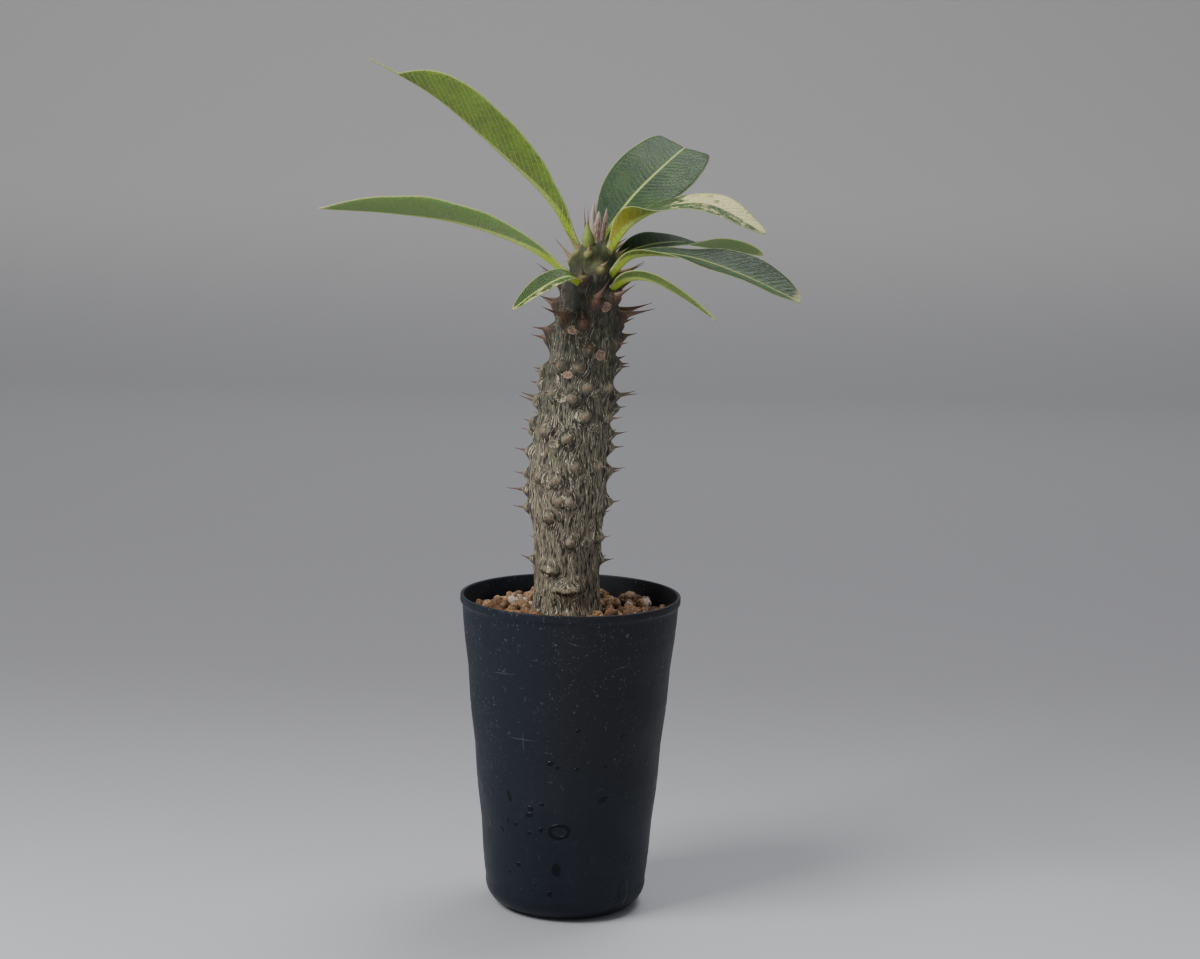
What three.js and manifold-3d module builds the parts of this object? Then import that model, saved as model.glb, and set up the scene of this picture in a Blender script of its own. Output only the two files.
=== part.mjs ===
// A spiny-stemmed succulent, Pachypodium baronii, growing in a deep black nursery pot.
// Millimetres, +Z up. The origin is the middle of the pot's base, on the surface it stands on.
// +X is to the right and +Y to the back of the plant as it is usually shown.

import * as THREE from 'three';
import { mergeVertices } from 'three/addons/utils/BufferGeometryUtils.js';
import Module from 'manifold-3d';

const wasm = await Module();
wasm.setup();

// Pot
const POT_HEIGHT = 129.2;
const RIM_RADIUS = 45;
const FOOT_RADIUS = 33;
const CORNER_RADIUS = 9.7;
const WALL = 1.2;
const LIP_HEIGHT = 3.2;
const LIP_PROUD = 0.25;
const RIM_ROUND = 0.4;
const BAND_DEPTH = 0.35;
const BAND_HEIGHTS = [19.4, 35.2, 51.7, 67.4, 83.6, 99.6, 115.4];
const BASE_TOP = 3.9;
const CHANNEL_HEIGHT = 2.5;
const CHANNEL_INNER = 8;
const CHANNEL_OUTER = 21.5;
const DRAIN_COUNT = 6;
const DRAIN_RADIUS = 2.5;
const DRAIN_CIRCLE = 14.5;
const NOTCH_COUNT = 3;
const NOTCH_WIDTH = 14;
const NOTCH_HEIGHT = 1.9;
const NOTCH_FIRST_TURN = -41;
const POT_SIDES = 32;

// Soil, a coarse mix of baked clay and pumice grains
const GAP = 0.3;
const SOIL_EDGE_HEIGHT = 119.6;
const SOIL_CROWN_HEIGHT = 121.2;
const GRAIN_COUNT = 76;
const GRAIN_RADII = [3, 4.2];
const GRAIN_PROUD = 0.35;
const GRAIN_SEED = 7;

// Trunk: height, middle and radius, from the tip of the tap root to the growing point
const TRUNK_PROFILE = [
  { z: 78, x: -1.8, r: 1.6 },
  { z: 96, x: -1.8, r: 6.5 },
  { z: 112, x: -1.8, r: 12 },
  { z: 121, x: -1.8, r: 14.8 },
  { z: 127, x: -1.7, r: 13.8 },
  { z: 140, x: -1.7, r: 13.2 },
  { z: 155, x: -1.8, r: 13.8 },
  { z: 169, x: -2.1, r: 15.2 },
  { z: 184, x: -2.0, r: 14.9 },
  { z: 200, x: -0.2, r: 14.2 },
  { z: 218, x: 2.0, r: 13.2 },
  { z: 232, x: 3.4, r: 12.6 },
  { z: 245, x: 4.7, r: 11 },
  { z: 257, x: 5.7, r: 9 },
  { z: 265, x: 6.5, r: 7 },
  { z: 271, x: 7.0, r: 4.4 },
  { z: 273.5, x: 7.0, r: 1.2 },
];
const TRUNK_SIDES = 24;
const BARK_START = 121;
const BARK_STEP = 4;
const BARK_CLEARANCE = 1;
const ROOT_HEIGHTS = [78, 87, 96, 104, 112, 118];
const ROOT_HOLE_SPREAD = 1.01;

// Knobs, each with one spine. Those that the front shows are listed by turn, height, the turn
// that the spine points to, its rise and its reach from the bark. Those of the back stand in
// pairs, one on each side of a leaf scar and a little above it. Turns are in degrees from the
// front, to the right.
const FRONT_KNOBS = [
  [-62, 268.5, -75, 48, 9.5], [-18, 268, 0, 65, 6], [-85, 265, -90, 38, 10], [62, 269, 72, 32, 9.5],
  [95, 268.5, 85, 30, 9.5], [20, 262, 45, 30, 6], [-17, 258.5, -15, 40, 6.5], [78, 259, 80, 20, 12.5],
  [105, 258.5, 95, 20, 12.5], [-95, 256, -95, 25, 13], [-118, 255, -110, 25, 12], [12, 249.5, 32, 30, 13.5],
  [58, 250.5, 55, 25, 12.5], [-75, 248, -80, 16, 9], [-5, 241.5, -8, 30, 7], [-40, 243, -62, 14, 11.5],
  [85, 243, 82, 10, 15], [102, 244, 92, 14, 13.5], [8, 230.5, 20, 20, 6.5], [62, 232, 68, 8, 6],
  [97, 234.5, 92, 6, 7.5], [-86, 237, -85, 5, 8], [-100, 233, -95, 5, 8.5], [-34, 224, -60, 5, 5],
  [-3, 223.5, -5, 10, 4], [88, 223.5, 88, 4, 5.5], [102, 222, 95, 4, 5.5], [-88, 221, -90, 6, 5],
  [-103, 219, -95, 6, 4.5], [14, 215.5, 14, 0, 2.6], [52, 215, 60, 0, 4], [-95, 215, -92, 4, 5],
  [-43, 212.5, -55, 5, 4], [-6, 211, -6, 5, 3.4], [85, 211, 85, 4, 10], [102, 210.5, 95, 4, 9],
  [95, 205.5, 92, 6, 5.5], [-85, 209.5, -85, 6, 8], [-100, 207.5, -95, 10, 8], [15, 204, 20, 0, 3.6],
  [60, 202.5, 68, 0, 6.5], [-88, 199.5, -88, 5, 5], [-42, 197.5, -45, 0, 3.4], [-6, 195, -6, -10, 3.6],
  [92, 195, 90, 5, 6.5], [-97, 196, -92, 2, 5.5], [95, 189.5, 92, 0, 6], [-85, 188, -85, 4, 6.5],
  [10, 183.5, 10, 0, 3.6], [48, 183.5, 55, 0, 5], [82, 181, 85, 5, 7], [100, 179, 95, 3, 6],
  [-44, 179, -55, 5, 4], [-15, 178, -15, 0, 3.4], [-90, 178.5, -88, 2, 5.5], [-88, 172, -88, 2, 8.5],
  [-11, 170, -10, 0, 2.6], [4, 169.5, 4, 0, 2.6], [88, 167.5, 88, 2, 5.5], [-28, 163, -32, 0, 3.6],
  [-80, 165, -82, 3, 6.5], [5, 152.8, 10, 5, 3.6], [62, 154, 75, 8, 5], [-40, 141, -40, 5, 2],
  [-24, 140.5, -24, 5, 2], [-85, 143.5, -85, 12, 5], [85, 143.5, 85, 8, 5], [-14, 133, -14, 0, 2],
  [1, 132.5, 0, 0, 2], [14, 133, 14, 0, 2],
];
const FRONT_SCARS = [
  [35, 247], [-22, 238], [30, 228], [-19.5, 220], [31, 213], [-24, 210.6],
  [33.5, 199.3], [-25.5, 192.3], [27, 179], [-30, 176], [36, 152],
];
const BACK_SCARS = [
  { turn: 140, heights: [140, 158, 175, 191, 206, 221, 235, 249, 262] },
  { turn: -145, heights: [147, 166, 182, 198, 213, 228, 241, 255] },
  { turn: 180, heights: [152, 187, 217, 244, 264] },
];
const BACK_ASIDE = 5;
const BACK_ABOVE = 3.5;
const BACK_SPLAY = 8;
const BACK_REACH = [
  { z: 140, v: 4.5 }, { z: 200, v: 5.5 }, { z: 225, v: 6.5 }, { z: 245, v: 12 }, { z: 265, v: 9 },
];
const BACK_RISE = [{ z: 140, v: 4 }, { z: 200, v: 8 }, { z: 240, v: 18 }, { z: 265, v: 32 }];
const KNOB_HEIGHT = [
  { z: 133, v: 1.2 }, { z: 145, v: 1.5 }, { z: 163, v: 2.2 }, { z: 180, v: 2.4 }, { z: 200, v: 2.6 },
  { z: 224, v: 2.7 }, { z: 232, v: 3.4 }, { z: 243, v: 4.8 }, { z: 252, v: 4.6 }, { z: 260, v: 3.4 },
  { z: 268, v: 2.4 },
];
const KNOB_WIDTH = [
  { z: 160, v: 2.3 }, { z: 200, v: 2.7 }, { z: 224, v: 2.8 }, { z: 243, v: 2.9 }, { z: 260, v: 2.4 },
  { z: 268, v: 1.9 },
];
const KNOB_TOP_SHARE = 0.3;
const KNOB_SIDES = 4;
const SWELL_HEIGHT = [
  { z: 130, v: 0.5 }, { z: 150, v: 0.8 }, { z: 200, v: 1.1 }, { z: 245, v: 0.9 }, { z: 270, v: 0.5 },
];
const SWELL_WIDTH = 4.6;
const SWELL_TALL = 3.6;
const SPINE_SUNK = 1.6;
const STUB_FROM_HEIGHT = 215;
const STUB_TO_HEIGHT = 250;
const STUB_RADIUS = 2.4;
const STUB_PROUD = 1.5;

// The youngest knob stands up beside the growing point as a bud, with two thin spines on it.
const BUD = { foot: [4.4, -3.2, 269.5], tip: [3.7, -3.9, 280.5], radius: 2.4 };
const BUD_SIDES = 6;
const YOUNG_SPINES = [
  { foot: [3.3, -3.4, 275], tip: [2.4, -3, 286.5], radius: 0.7 },
  { foot: [4.3, -4, 275], tip: [4, -4, 286], radius: 0.7 },
];

// Leaves: rib is the line of the midrib from the trunk to the tip. left and right are how far each
// half of the blade rises from level, in degrees, at equal steps from base to tip, as seen along
// the rib. width is half the breadth at the widest place, which is the share peak of the way from
// the stalk to where a bare tail starts. rise and fall set how fast the blade widens and narrows.
const LEAVES = [
  {
    name: 'leaf_upper_left', width: 14.4, peak: 0.56, rise: 1.8, fall: 0.9, tail: 0.11,
    left: [60, 57, 54], right: [52, 49, 46],
    rib: [[1, -1, 269], [-11, -3, 288.5], [-33, -6, 309], [-57, -8, 328.5], [-82, -10, 342]],
  },
  {
    name: 'leaf_left', width: 9.9, peak: 0.46, rise: 1.8, fall: 1.1,
    left: [56, 52, 48], right: [44, 42, 40],
    rib: [[-3, 1, 259.5], [-20, 2, 270], [-46, 5, 278.5], [-75, 8, 282], [-104, 9, 283]],
  },
  {
    name: 'leaf_lower_left', width: 7, peak: 0.5,
    left: [-8, 2, 2], right: [40, 34, 24],
    rib: [[2, -8, 256], [-3, -14, 258.6], [-9, -19, 257], [-16, -24.5, 253], [-24, -30, 247]],
  },
  {
    name: 'leaf_broad_upper_right', width: 16.8, peak: 0.52, rise: 1.2, fall: 1.05,
    left: [28, 28, 30, 24], right: [0, -16, -24, 0],
    rib: [[9, 5, 268], [14, 8, 279], [22, 16, 290], [33, 29, 301], [43, 45, 309.5], [42, 60, 306]],
  },
  {
    name: 'leaf_arching_right', width: 12.5, peak: 0.66, rise: 1, fall: 0.62,
    left: [40, 30, 18, 18, 14], right: [60, 50, -4, -10, -4],
    rib: [[12, -2, 268], [21, -9, 280], [34, -17, 287], [52, -28, 288.5], [72, -37, 278.5]],
  },
  {
    name: 'leaf_back_right', width: 11, peak: 0.6,
    left: [34, 38, 22, 5, 0], right: [0, -7, 0, 26, 36],
    rib: [[13, 3, 262], [24, 11, 269], [40, 24, 271.5], [58, 35, 269], [77, 46, 266]],
  },
  {
    name: 'leaf_long_right', width: 13.5, peak: 0.66, rise: 1.9, fall: 0.62,
    left: [40, 22, 20, 30, 34], right: [34, 24, -3, -2, 0],
    rib: [[13, -4, 259], [23, -12, 268], [43, -19, 268], [64, -25, 262], [87, -29, 252]],
  },
  {
    name: 'leaf_lower_right', width: 5.2, peak: 0.5,
    left: [25, 15, 15], right: [30, 45, 60],
    rib: [[14, -5, 254.5], [21, -8, 258.5], [30, -13, 258.3], [42, -19, 252.5], [55, -26, 244]],
  },
];
const BLADE_THICKNESS = 0.8;
const PETIOLE_HALF_WIDTH = 1.7;
const PETIOLE_DEPTH = 1.7;
const RIB_HALF_WIDTH = 1.4;
const PETIOLE_SHARE = 0.06;
const TIP_HALF_WIDTH = 0.5;
const TIP_FALL = 0.75;
const LEAF_STATIONS = 12;
const PEG_LENGTH = 2.6;
const SOCKET_REACH = 22;
const SOCKET_STEPS = 6;
const SOCKET_ROOM = 0.5;
const BLADE_PLACES = [-1, -0.6, -0.22, 0, 0.22, 0.6, 1];
const SOCKET_CORNERS = [0, 3, 6, 7, 10, 13];

// Furled young leaves at the growing point
const YOUNG_LEAVES = [
  { name: 'young_leaf_1', foot: [6.8, 1.2, 270], tip: [6.7, 2, 288.7], radius: 1.4 },
  { name: 'young_leaf_2', foot: [7.8, -2.6, 269], tip: [8.4, -3.4, 284.5], radius: 1.4 },
  { name: 'young_leaf_3', foot: [9.8, 1, 269.5], tip: [11.5, 2, 285.6], radius: 0.9 },
];
const YOUNG_SIDES = 8;

const COLOURS = {
  pot: { color: 0x14181c, roughness: 0.55 },
  soil: { color: 0xa9713d, roughness: 0.95 },
  trunk: { color: 0x6b6454, roughness: 0.85 },
  leaf: { color: 0x5f7f3a, roughness: 0.45 },
  youngLeaf: { color: 0x6e4a3c, roughness: 0.7 },
};

const UP = new THREE.Vector3(0, 0, 1);
const rad = THREE.MathUtils.degToRad;
const mix = THREE.MathUtils.lerp;

// Solids and meshes

function toSolid(geometry) {
  const bare = geometry.index ? geometry.toNonIndexed() : geometry.clone();
  bare.deleteAttribute('normal');
  bare.deleteAttribute('uv');
  const merged = mergeVertices(bare, 1e-4);
  const mesh = new wasm.Mesh({
    numProp: 3,
    vertProperties: new Float32Array(merged.attributes.position.array),
    triVerts: new Uint32Array(merged.index.array),
  });
  return new wasm.Manifold(mesh);
}

function toGeometry(solid) {
  const mesh = solid.getMesh();
  const geometry = new THREE.BufferGeometry();
  geometry.setAttribute('position', new THREE.BufferAttribute(mesh.vertProperties, 3));
  geometry.setIndex(new THREE.BufferAttribute(mesh.triVerts, 1));
  const flat = geometry.toNonIndexed();
  flat.computeVertexNormals();
  return flat;
}

function largestBody(solid) {
  const bodies = solid.decompose();
  return bodies.reduce((best, body) => (body.volume() > best.volume() ? body : best));
}

function meshOf(name, geometry, finish) {
  const mesh = new THREE.Mesh(geometry, new THREE.MeshStandardMaterial({ ...finish, metalness: 0 }));
  mesh.name = name;
  return mesh;
}

// A closed skin over a row of rings with equal point counts, with a fan on each end.
// The quads of the first half of each ring are split one way and those of the second half
// the other way, so the two faces of a thin blade have the same edges.
function loft(rings) {
  const size = rings[0].length;
  const points = rings.flat();
  const index = [];
  for (let i = 0; i < rings.length - 1; i += 1) {
    for (let j = 0; j < size; j += 1) {
      const a = i * size + j;
      const b = i * size + ((j + 1) % size);
      const c = a + size;
      const d = b + size;
      if (j < size / 2) {
        index.push(a, b, d, a, d, c);
      } else {
        index.push(a, b, c, b, d, c);
      }
    }
  }
  for (const [ring, start] of [[rings[0], 0], [rings.at(-1), (rings.length - 1) * size]]) {
    const middle = new THREE.Vector3();
    ring.forEach((p) => middle.addScaledVector(p, 1 / size));
    points.push(middle);
    for (let j = 0; j < size; j += 1) {
      const edge = [start + j, start + ((j + 1) % size)];
      index.push(points.length - 1, ...(start === 0 ? edge.reverse() : edge));
    }
  }
  const geometry = new THREE.BufferGeometry().setFromPoints(points);
  geometry.setIndex(enclosedVolume(points, index) < 0 ? index.reverse() : index);
  geometry.computeVertexNormals();
  return geometry;
}

function enclosedVolume(points, index) {
  let total = 0;
  for (let k = 0; k < index.length; k += 3) {
    const [a, b, c] = [points[index[k]], points[index[k + 1]], points[index[k + 2]]];
    total += a.dot(new THREE.Vector3().crossVectors(b, c)) / 6;
  }
  return total;
}

// LatheGeometry turns about Y, so the result is stood up along Z.
function turned(profile, sides) {
  const points = profile.map(([r, z]) => new THREE.Vector2(r, z));
  return new THREE.LatheGeometry(points, sides).rotateX(Math.PI / 2);
}

// Even draws from 0 to 1 that are the same on every run
function drawsFrom(seed) {
  let state = seed;
  return () => {
    state = (state * 16807) % 2147483647;
    return state / 2147483647;
  };
}

// A value read off a short table of heights, straight between its rows
function at(table, z, key = 'v') {
  const next = table.findIndex((row) => row.z > z);
  if (next <= 0) {
    return next === 0 ? table[0][key] : table.at(-1)[key];
  }
  const [low, high] = [table[next - 1], table[next]];
  return mix(low[key], high[key], (z - low.z) / (high.z - low.z));
}

// Pot

function outerWall(z) {
  return mix(FOOT_RADIUS, RIM_RADIUS - LIP_PROUD, (z - CORNER_RADIUS) / (POT_HEIGHT - CORNER_RADIUS));
}

function innerWall(z) {
  return outerWall(z) - WALL;
}

function cornerArc(radius, fromZ) {
  const middle = FOOT_RADIUS - CORNER_RADIUS;
  const first = Math.asin((fromZ - CORNER_RADIUS) / radius);
  return [0, 1, 2, 3].map((step) => {
    const angle = mix(first, 0, step / 3);
    return [middle + radius * Math.cos(angle), CORNER_RADIUS + radius * Math.sin(angle)];
  });
}

function makePot() {
  const lipFoot = POT_HEIGHT - LIP_HEIGHT;
  const profile = [
    [0, 0],
    [CHANNEL_INNER, 0],
    [CHANNEL_INNER, CHANNEL_HEIGHT],
    [CHANNEL_OUTER, CHANNEL_HEIGHT],
    [CHANNEL_OUTER, 0],
    ...cornerArc(CORNER_RADIUS, 0),
    ...BAND_HEIGHTS.map((z, i) => [outerWall(z) - (i % 2) * BAND_DEPTH, z]),
    [outerWall(lipFoot), lipFoot],
    [RIM_RADIUS, lipFoot + RIM_ROUND],
    [RIM_RADIUS, POT_HEIGHT - RIM_ROUND],
    [RIM_RADIUS - RIM_ROUND, POT_HEIGHT],
    [innerWall(POT_HEIGHT) + RIM_ROUND, POT_HEIGHT],
    [innerWall(POT_HEIGHT), POT_HEIGHT - RIM_ROUND],
    ...cornerArc(CORNER_RADIUS - WALL, BASE_TOP).reverse(),
    [0, BASE_TOP],
  ];
  const drains = [];
  for (let i = 0; i < DRAIN_COUNT; i += 1) {
    const turn = (i / DRAIN_COUNT) * 2 * Math.PI;
    const drain = new THREE.CylinderGeometry(DRAIN_RADIUS, DRAIN_RADIUS, BASE_TOP, 8);
    drain.rotateX(Math.PI / 2);
    drain.translate(DRAIN_CIRCLE * Math.cos(turn), DRAIN_CIRCLE * Math.sin(turn), BASE_TOP);
    drains.push(toSolid(drain));
  }
  const notches = [];
  for (let i = 0; i < NOTCH_COUNT; i += 1) {
    const notch = new THREE.BoxGeometry(NOTCH_WIDTH, FOOT_RADIUS, 2 * NOTCH_HEIGHT);
    notch.translate(0, -CHANNEL_OUTER + 1 - FOOT_RADIUS / 2, 0);
    notch.rotateZ(rad(NOTCH_FIRST_TURN + (i * 360) / NOTCH_COUNT));
    notches.push(toSolid(notch));
  }
  const body = toSolid(turned(profile, POT_SIDES));
  return toGeometry(body.subtract(wasm.Manifold.union([...drains, ...notches])));
}

// Trunk

const trunkX = (z) => at(TRUNK_PROFILE, z, 'x');

// Radius by height, smooth between the rows of the profile
const trunkCurve = new THREE.SplineCurve(TRUNK_PROFILE.map(({ z, r }) => new THREE.Vector2(z, r)));
const trunkSamples = trunkCurve.getPoints(16 * TRUNK_PROFILE.length).map((p) => ({ z: p.x, v: p.y }));
const trunkRadius = (z) => at(trunkSamples, z);

function outward(turn) {
  return new THREE.Vector3(Math.sin(rad(turn)), -Math.cos(rad(turn)), 0);
}

const backScars = BACK_SCARS.flatMap(({ turn, heights }) => heights.map((z) => ({ turn, z })));
const scars = [...FRONT_SCARS.map(([turn, z]) => ({ turn, z })), ...backScars];

// The two knobs beside a leaf scar of the back, with their spines splayed apart
function knobPair({ turn, z }) {
  const aside = THREE.MathUtils.radToDeg(BACK_ASIDE / trunkRadius(z));
  return [-1, 1].map((side) => ({
    turn: turn + side * aside,
    z: z + BACK_ABOVE,
    aim: turn + side * (aside / 2 + BACK_SPLAY),
    rise: at(BACK_RISE, z),
    reach: at(BACK_REACH, z),
  }));
}

const frontKnobs = FRONT_KNOBS.map(([turn, z, aim, rise, reach]) => ({ turn, z, aim, rise, reach }));
const knobs = [...frontKnobs, ...backScars.flatMap(knobPair)];

// The bark swells round each knob as a smooth bump. Where bumps meet they don't pile up.
function swelling(turn, z) {
  const r = trunkRadius(z);
  return knobs.reduce((swell, knob) => {
    const apart = THREE.MathUtils.euclideanModulo(turn - knob.turn + 180, 360) - 180;
    const across = (rad(apart) * r) / SWELL_WIDTH;
    const along = (z - knob.z) / SWELL_TALL;
    const bump = at(SWELL_HEIGHT, knob.z) * Math.exp(-across * across - along * along);
    return Math.max(swell, 0.6 * swell + bump);
  }, 0);
}

function barkPoint(turn, z) {
  const r = trunkRadius(z) + (z > BARK_START ? swelling(turn, z) : 0);
  return outward(turn).multiplyScalar(r).add(new THREE.Vector3(trunkX(z), 0, z));
}

function trunkBody() {
  const heights = [...ROOT_HEIGHTS];
  const top = TRUNK_PROFILE.at(-1).z;
  for (let z = BARK_START; z < top - 1; z += BARK_STEP) {
    heights.push(z);
  }
  heights.push(top - 0.8, top);
  const rings = heights.map((z) => {
    const ring = [];
    for (let j = 0; j < TRUNK_SIDES; j += 1) {
      ring.push(barkPoint((j * 360) / TRUNK_SIDES, z));
    }
    return ring;
  });
  return toSolid(loft(rings));
}

// A body along +Y, turned from radii and heights
function spike(profile, sides) {
  return new THREE.LatheGeometry(profile.map(([r, y]) => new THREE.Vector2(r, y)), sides);
}

function pointed(geometry, direction, place) {
  const turn = new THREE.Quaternion().setFromUnitVectors(new THREE.Vector3(0, 1, 0), direction);
  return geometry.applyQuaternion(turn).translate(place.x, place.y, place.z);
}

// A knob with its spine: a round cone of the bark that ends in a slim point
function spinyKnob({ turn, z, aim, rise, reach }) {
  const height = at(KNOB_HEIGHT, z);
  const width = at(KNOB_WIDTH, z);
  const profile = [
    [0, -SPINE_SUNK], [1.25 * width, -SPINE_SUNK], [0.85 * width, 0.5 * height],
    [KNOB_TOP_SHARE * width, height], [0, Math.max(reach, height + 0.8)],
  ];
  const direction = outward(aim).multiplyScalar(Math.cos(rad(rise)));
  direction.z = Math.sin(rad(rise));
  return toSolid(pointed(spike(profile, KNOB_SIDES), direction, barkPoint(turn, z)));
}

// The corky end of a fallen leaf's stalk
function stub({ turn, z }) {
  const disc = new THREE.CylinderGeometry(STUB_RADIUS, STUB_RADIUS + 0.3, 2 * STUB_PROUD, 7);
  return toSolid(pointed(disc, outward(turn), barkPoint(turn, z)));
}

// A thin spine, or the bud, from its foot to its tip
function spikeBetween({ foot, tip, radius }) {
  const [low, high] = [new THREE.Vector3(...foot), new THREE.Vector3(...tip)];
  const way = new THREE.Vector3().subVectors(high, low);
  const length = way.length();
  const profile = [
    [0, -SPINE_SUNK], [0.7 * radius, -SPINE_SUNK], [radius, 0.3 * length],
    [0.5 * radius, 0.65 * length], [0, length],
  ];
  return toSolid(pointed(spike(profile, BUD_SIDES), way.normalize(), low));
}

function makeTrunk(sockets) {
  const stubs = scars.filter(({ z }) => z > STUB_FROM_HEIGHT && z < STUB_TO_HEIGHT).map(stub);
  const young = [BUD, ...YOUNG_SPINES].map(spikeBetween);
  const whole = wasm.Manifold.union([trunkBody(), ...knobs.map(spinyKnob), ...stubs, ...young]);
  return toGeometry(largestBody(whole.subtract(wasm.Manifold.union(sockets))));
}

// Soil

function rootHole() {
  const profile = [[0, ROOT_HEIGHTS[0] - GAP]];
  ROOT_HEIGHTS.forEach((z) => profile.push([(trunkRadius(z) + GAP) * ROOT_HOLE_SPREAD, z]));
  profile.push([trunkRadius(BARK_START) + BARK_CLEARANCE, BARK_START]);
  profile.push([trunkRadius(POT_HEIGHT) + BARK_CLEARANCE, POT_HEIGHT], [0, POT_HEIGHT]);
  return toSolid(turned(profile, TRUNK_SIDES));
}

function grains() {
  const draw = drawsFrom(GRAIN_SEED);
  const inner = trunkRadius(SOIL_CROWN_HEIGHT) + 1;
  const outer = innerWall(SOIL_EDGE_HEIGHT) - GRAIN_RADII[1] - GAP;
  const solids = [];
  for (let i = 0; i < GRAIN_COUNT; i += 1) {
    const share = (i + 0.5) / GRAIN_COUNT;
    const r = Math.sqrt(mix(inner * inner, outer * outer, share));
    const turn = i * rad(137.508) + 0.3 * draw();
    const size = mix(...GRAIN_RADII, draw());
    const height = mix(SOIL_CROWN_HEIGHT, SOIL_EDGE_HEIGHT, r / outer) + size * GRAIN_PROUD * draw();
    const grain = new THREE.OctahedronGeometry(size, 0);
    grain.scale(1, mix(0.75, 1, draw()), mix(0.65, 0.9, draw()));
    grain.rotateX(draw() * Math.PI).rotateZ(draw() * Math.PI);
    grain.translate(r * Math.cos(turn) + trunkX(SOIL_CROWN_HEIGHT) * (1 - share), r * Math.sin(turn), height);
    solids.push(toSolid(grain));
  }
  return solids;
}

function makeSoil() {
  const wall = cornerArc(CORNER_RADIUS - WALL - GAP, BASE_TOP + GAP);
  const profile = [
    [0, BASE_TOP + GAP],
    ...wall,
    [innerWall(SOIL_EDGE_HEIGHT) - GAP, SOIL_EDGE_HEIGHT],
    [0, SOIL_CROWN_HEIGHT],
  ];
  const whole = wasm.Manifold.union([toSolid(turned(profile, POT_SIDES)), ...grains()]);
  const hole = rootHole().translate([trunkX(SOIL_CROWN_HEIGHT), 0, 0]);
  return toGeometry(largestBody(whole.subtract(hole)));
}

// Leaves

function bladeHalfWidth(leaf, share) {
  if (share <= PETIOLE_SHARE) {
    return PETIOLE_HALF_WIDTH;
  }
  const blade = 1 - PETIOLE_SHARE - (leaf.tail ?? 0);
  const u = Math.min(1, (share - PETIOLE_SHARE) / blade);
  const fall = leaf.fall ?? TIP_FALL;
  const rise = leaf.rise ?? (fall * leaf.peak) / (1 - leaf.peak);
  const shape = (u / leaf.peak) ** rise * ((1 - u) / (1 - leaf.peak)) ** fall;
  return mix(PETIOLE_HALF_WIDTH, TIP_HALF_WIDTH, u) + (leaf.width - PETIOLE_HALF_WIDTH) * shape;
}

// A value from a short row of them at equal steps, with a smooth curve between
function eased(values, share) {
  const curve = new THREE.SplineCurve(values.map((value, i) => new THREE.Vector2(i, value)));
  return curve.getPoint(share).y;
}

// Directions along, across and up from the blade, share of the way from trunk to tip, and how
// far its halves rise from flat
function bladeFrame(leaf, curve, share) {
  const [left, right] = [leaf.left, leaf.right].map((values) => rad(eased(values, share)));
  const along = curve.getTangent(share);
  const across = new THREE.Vector3().crossVectors(UP, along).normalize();
  across.applyAxisAngle(along, (left - right) / 2);
  const above = new THREE.Vector3().crossVectors(along, across);
  const fold = ((left + right) / 2) * Math.min(1, share / PETIOLE_SHARE / 2);
  return { along, across, above, fold };
}

function leafCurve(leaf) {
  const points = leaf.rib.map((p) => new THREE.Vector3(...p));
  return new THREE.CatmullRomCurve3(points, false, 'catmullrom', 0.5);
}

// One ring round the leaf: its upper face from edge to edge and its lower face back again.
// The lower face is a blade's thickness down, and hangs deeper below the midrib. back moves
// the ring into the trunk, and room makes it larger all round.
function leafRing(leaf, curve, share, back = 0, room = 0) {
  const { along, across, above, fold } = bladeFrame(leaf, curve, share);
  const middle = curve.getPoint(share).addScaledVector(along, -back);
  const halfWidth = bladeHalfWidth(leaf, share) + room;
  const keel = PETIOLE_DEPTH * (1 - share) ** 1.5;
  const row = (under) => BLADE_PLACES.map((place) => {
    const aside = place * halfWidth;
    const ribbed = keel * Math.exp(-((aside / RIB_HALF_WIDTH) ** 2));
    const depth = under ? BLADE_THICKNESS + ribbed + room : -room;
    const point = middle.clone().addScaledVector(across, aside * Math.cos(fold));
    return point.addScaledVector(above, Math.abs(aside) * Math.sin(fold) + keel / 2 - depth);
  });
  return [...row(false), ...row(true).reverse()];
}

function makeLeaf(leaf) {
  const curve = leafCurve(leaf);
  const rings = [leafRing(leaf, curve, 0, PEG_LENGTH), leafRing(leaf, curve, 0)];
  rings.push(leafRing(leaf, curve, PETIOLE_SHARE));
  for (let i = 1; i <= LEAF_STATIONS; i += 1) {
    rings.push(leafRing(leaf, curve, mix(PETIOLE_SHARE, 1, i / LEAF_STATIONS)));
  }
  return loft(rings);
}

// The room that a leaf's foot needs in the trunk and among its spines
function leafSocket(leaf) {
  const curve = leafCurve(leaf);
  const reach = SOCKET_REACH / curve.getLength();
  const rings = [leafRing(leaf, curve, 0, PEG_LENGTH + GAP, SOCKET_ROOM)];
  for (let i = 0; i <= SOCKET_STEPS; i += 1) {
    rings.push(leafRing(leaf, curve, (reach * i) / SOCKET_STEPS, 0, SOCKET_ROOM));
  }
  return toSolid(loft(rings.map((ring) => SOCKET_CORNERS.map((place) => ring[place]))));
}

function spindle({ foot, tip, radius }, by) {
  const [low, high] = [new THREE.Vector3(...foot), new THREE.Vector3(...tip)];
  const length = low.distanceTo(high);
  const profile = [
    [0, -by], [radius * 0.8 + by, -by], [radius + by, length * 0.35],
    [radius * 0.75 + by, length * 0.7], [0, length + by],
  ];
  const body = new THREE.LatheGeometry(profile.map(([r, y]) => new THREE.Vector2(r, y)), YOUNG_SIDES);
  return pointed(body, high.sub(low).normalize(), low);
}

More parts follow.
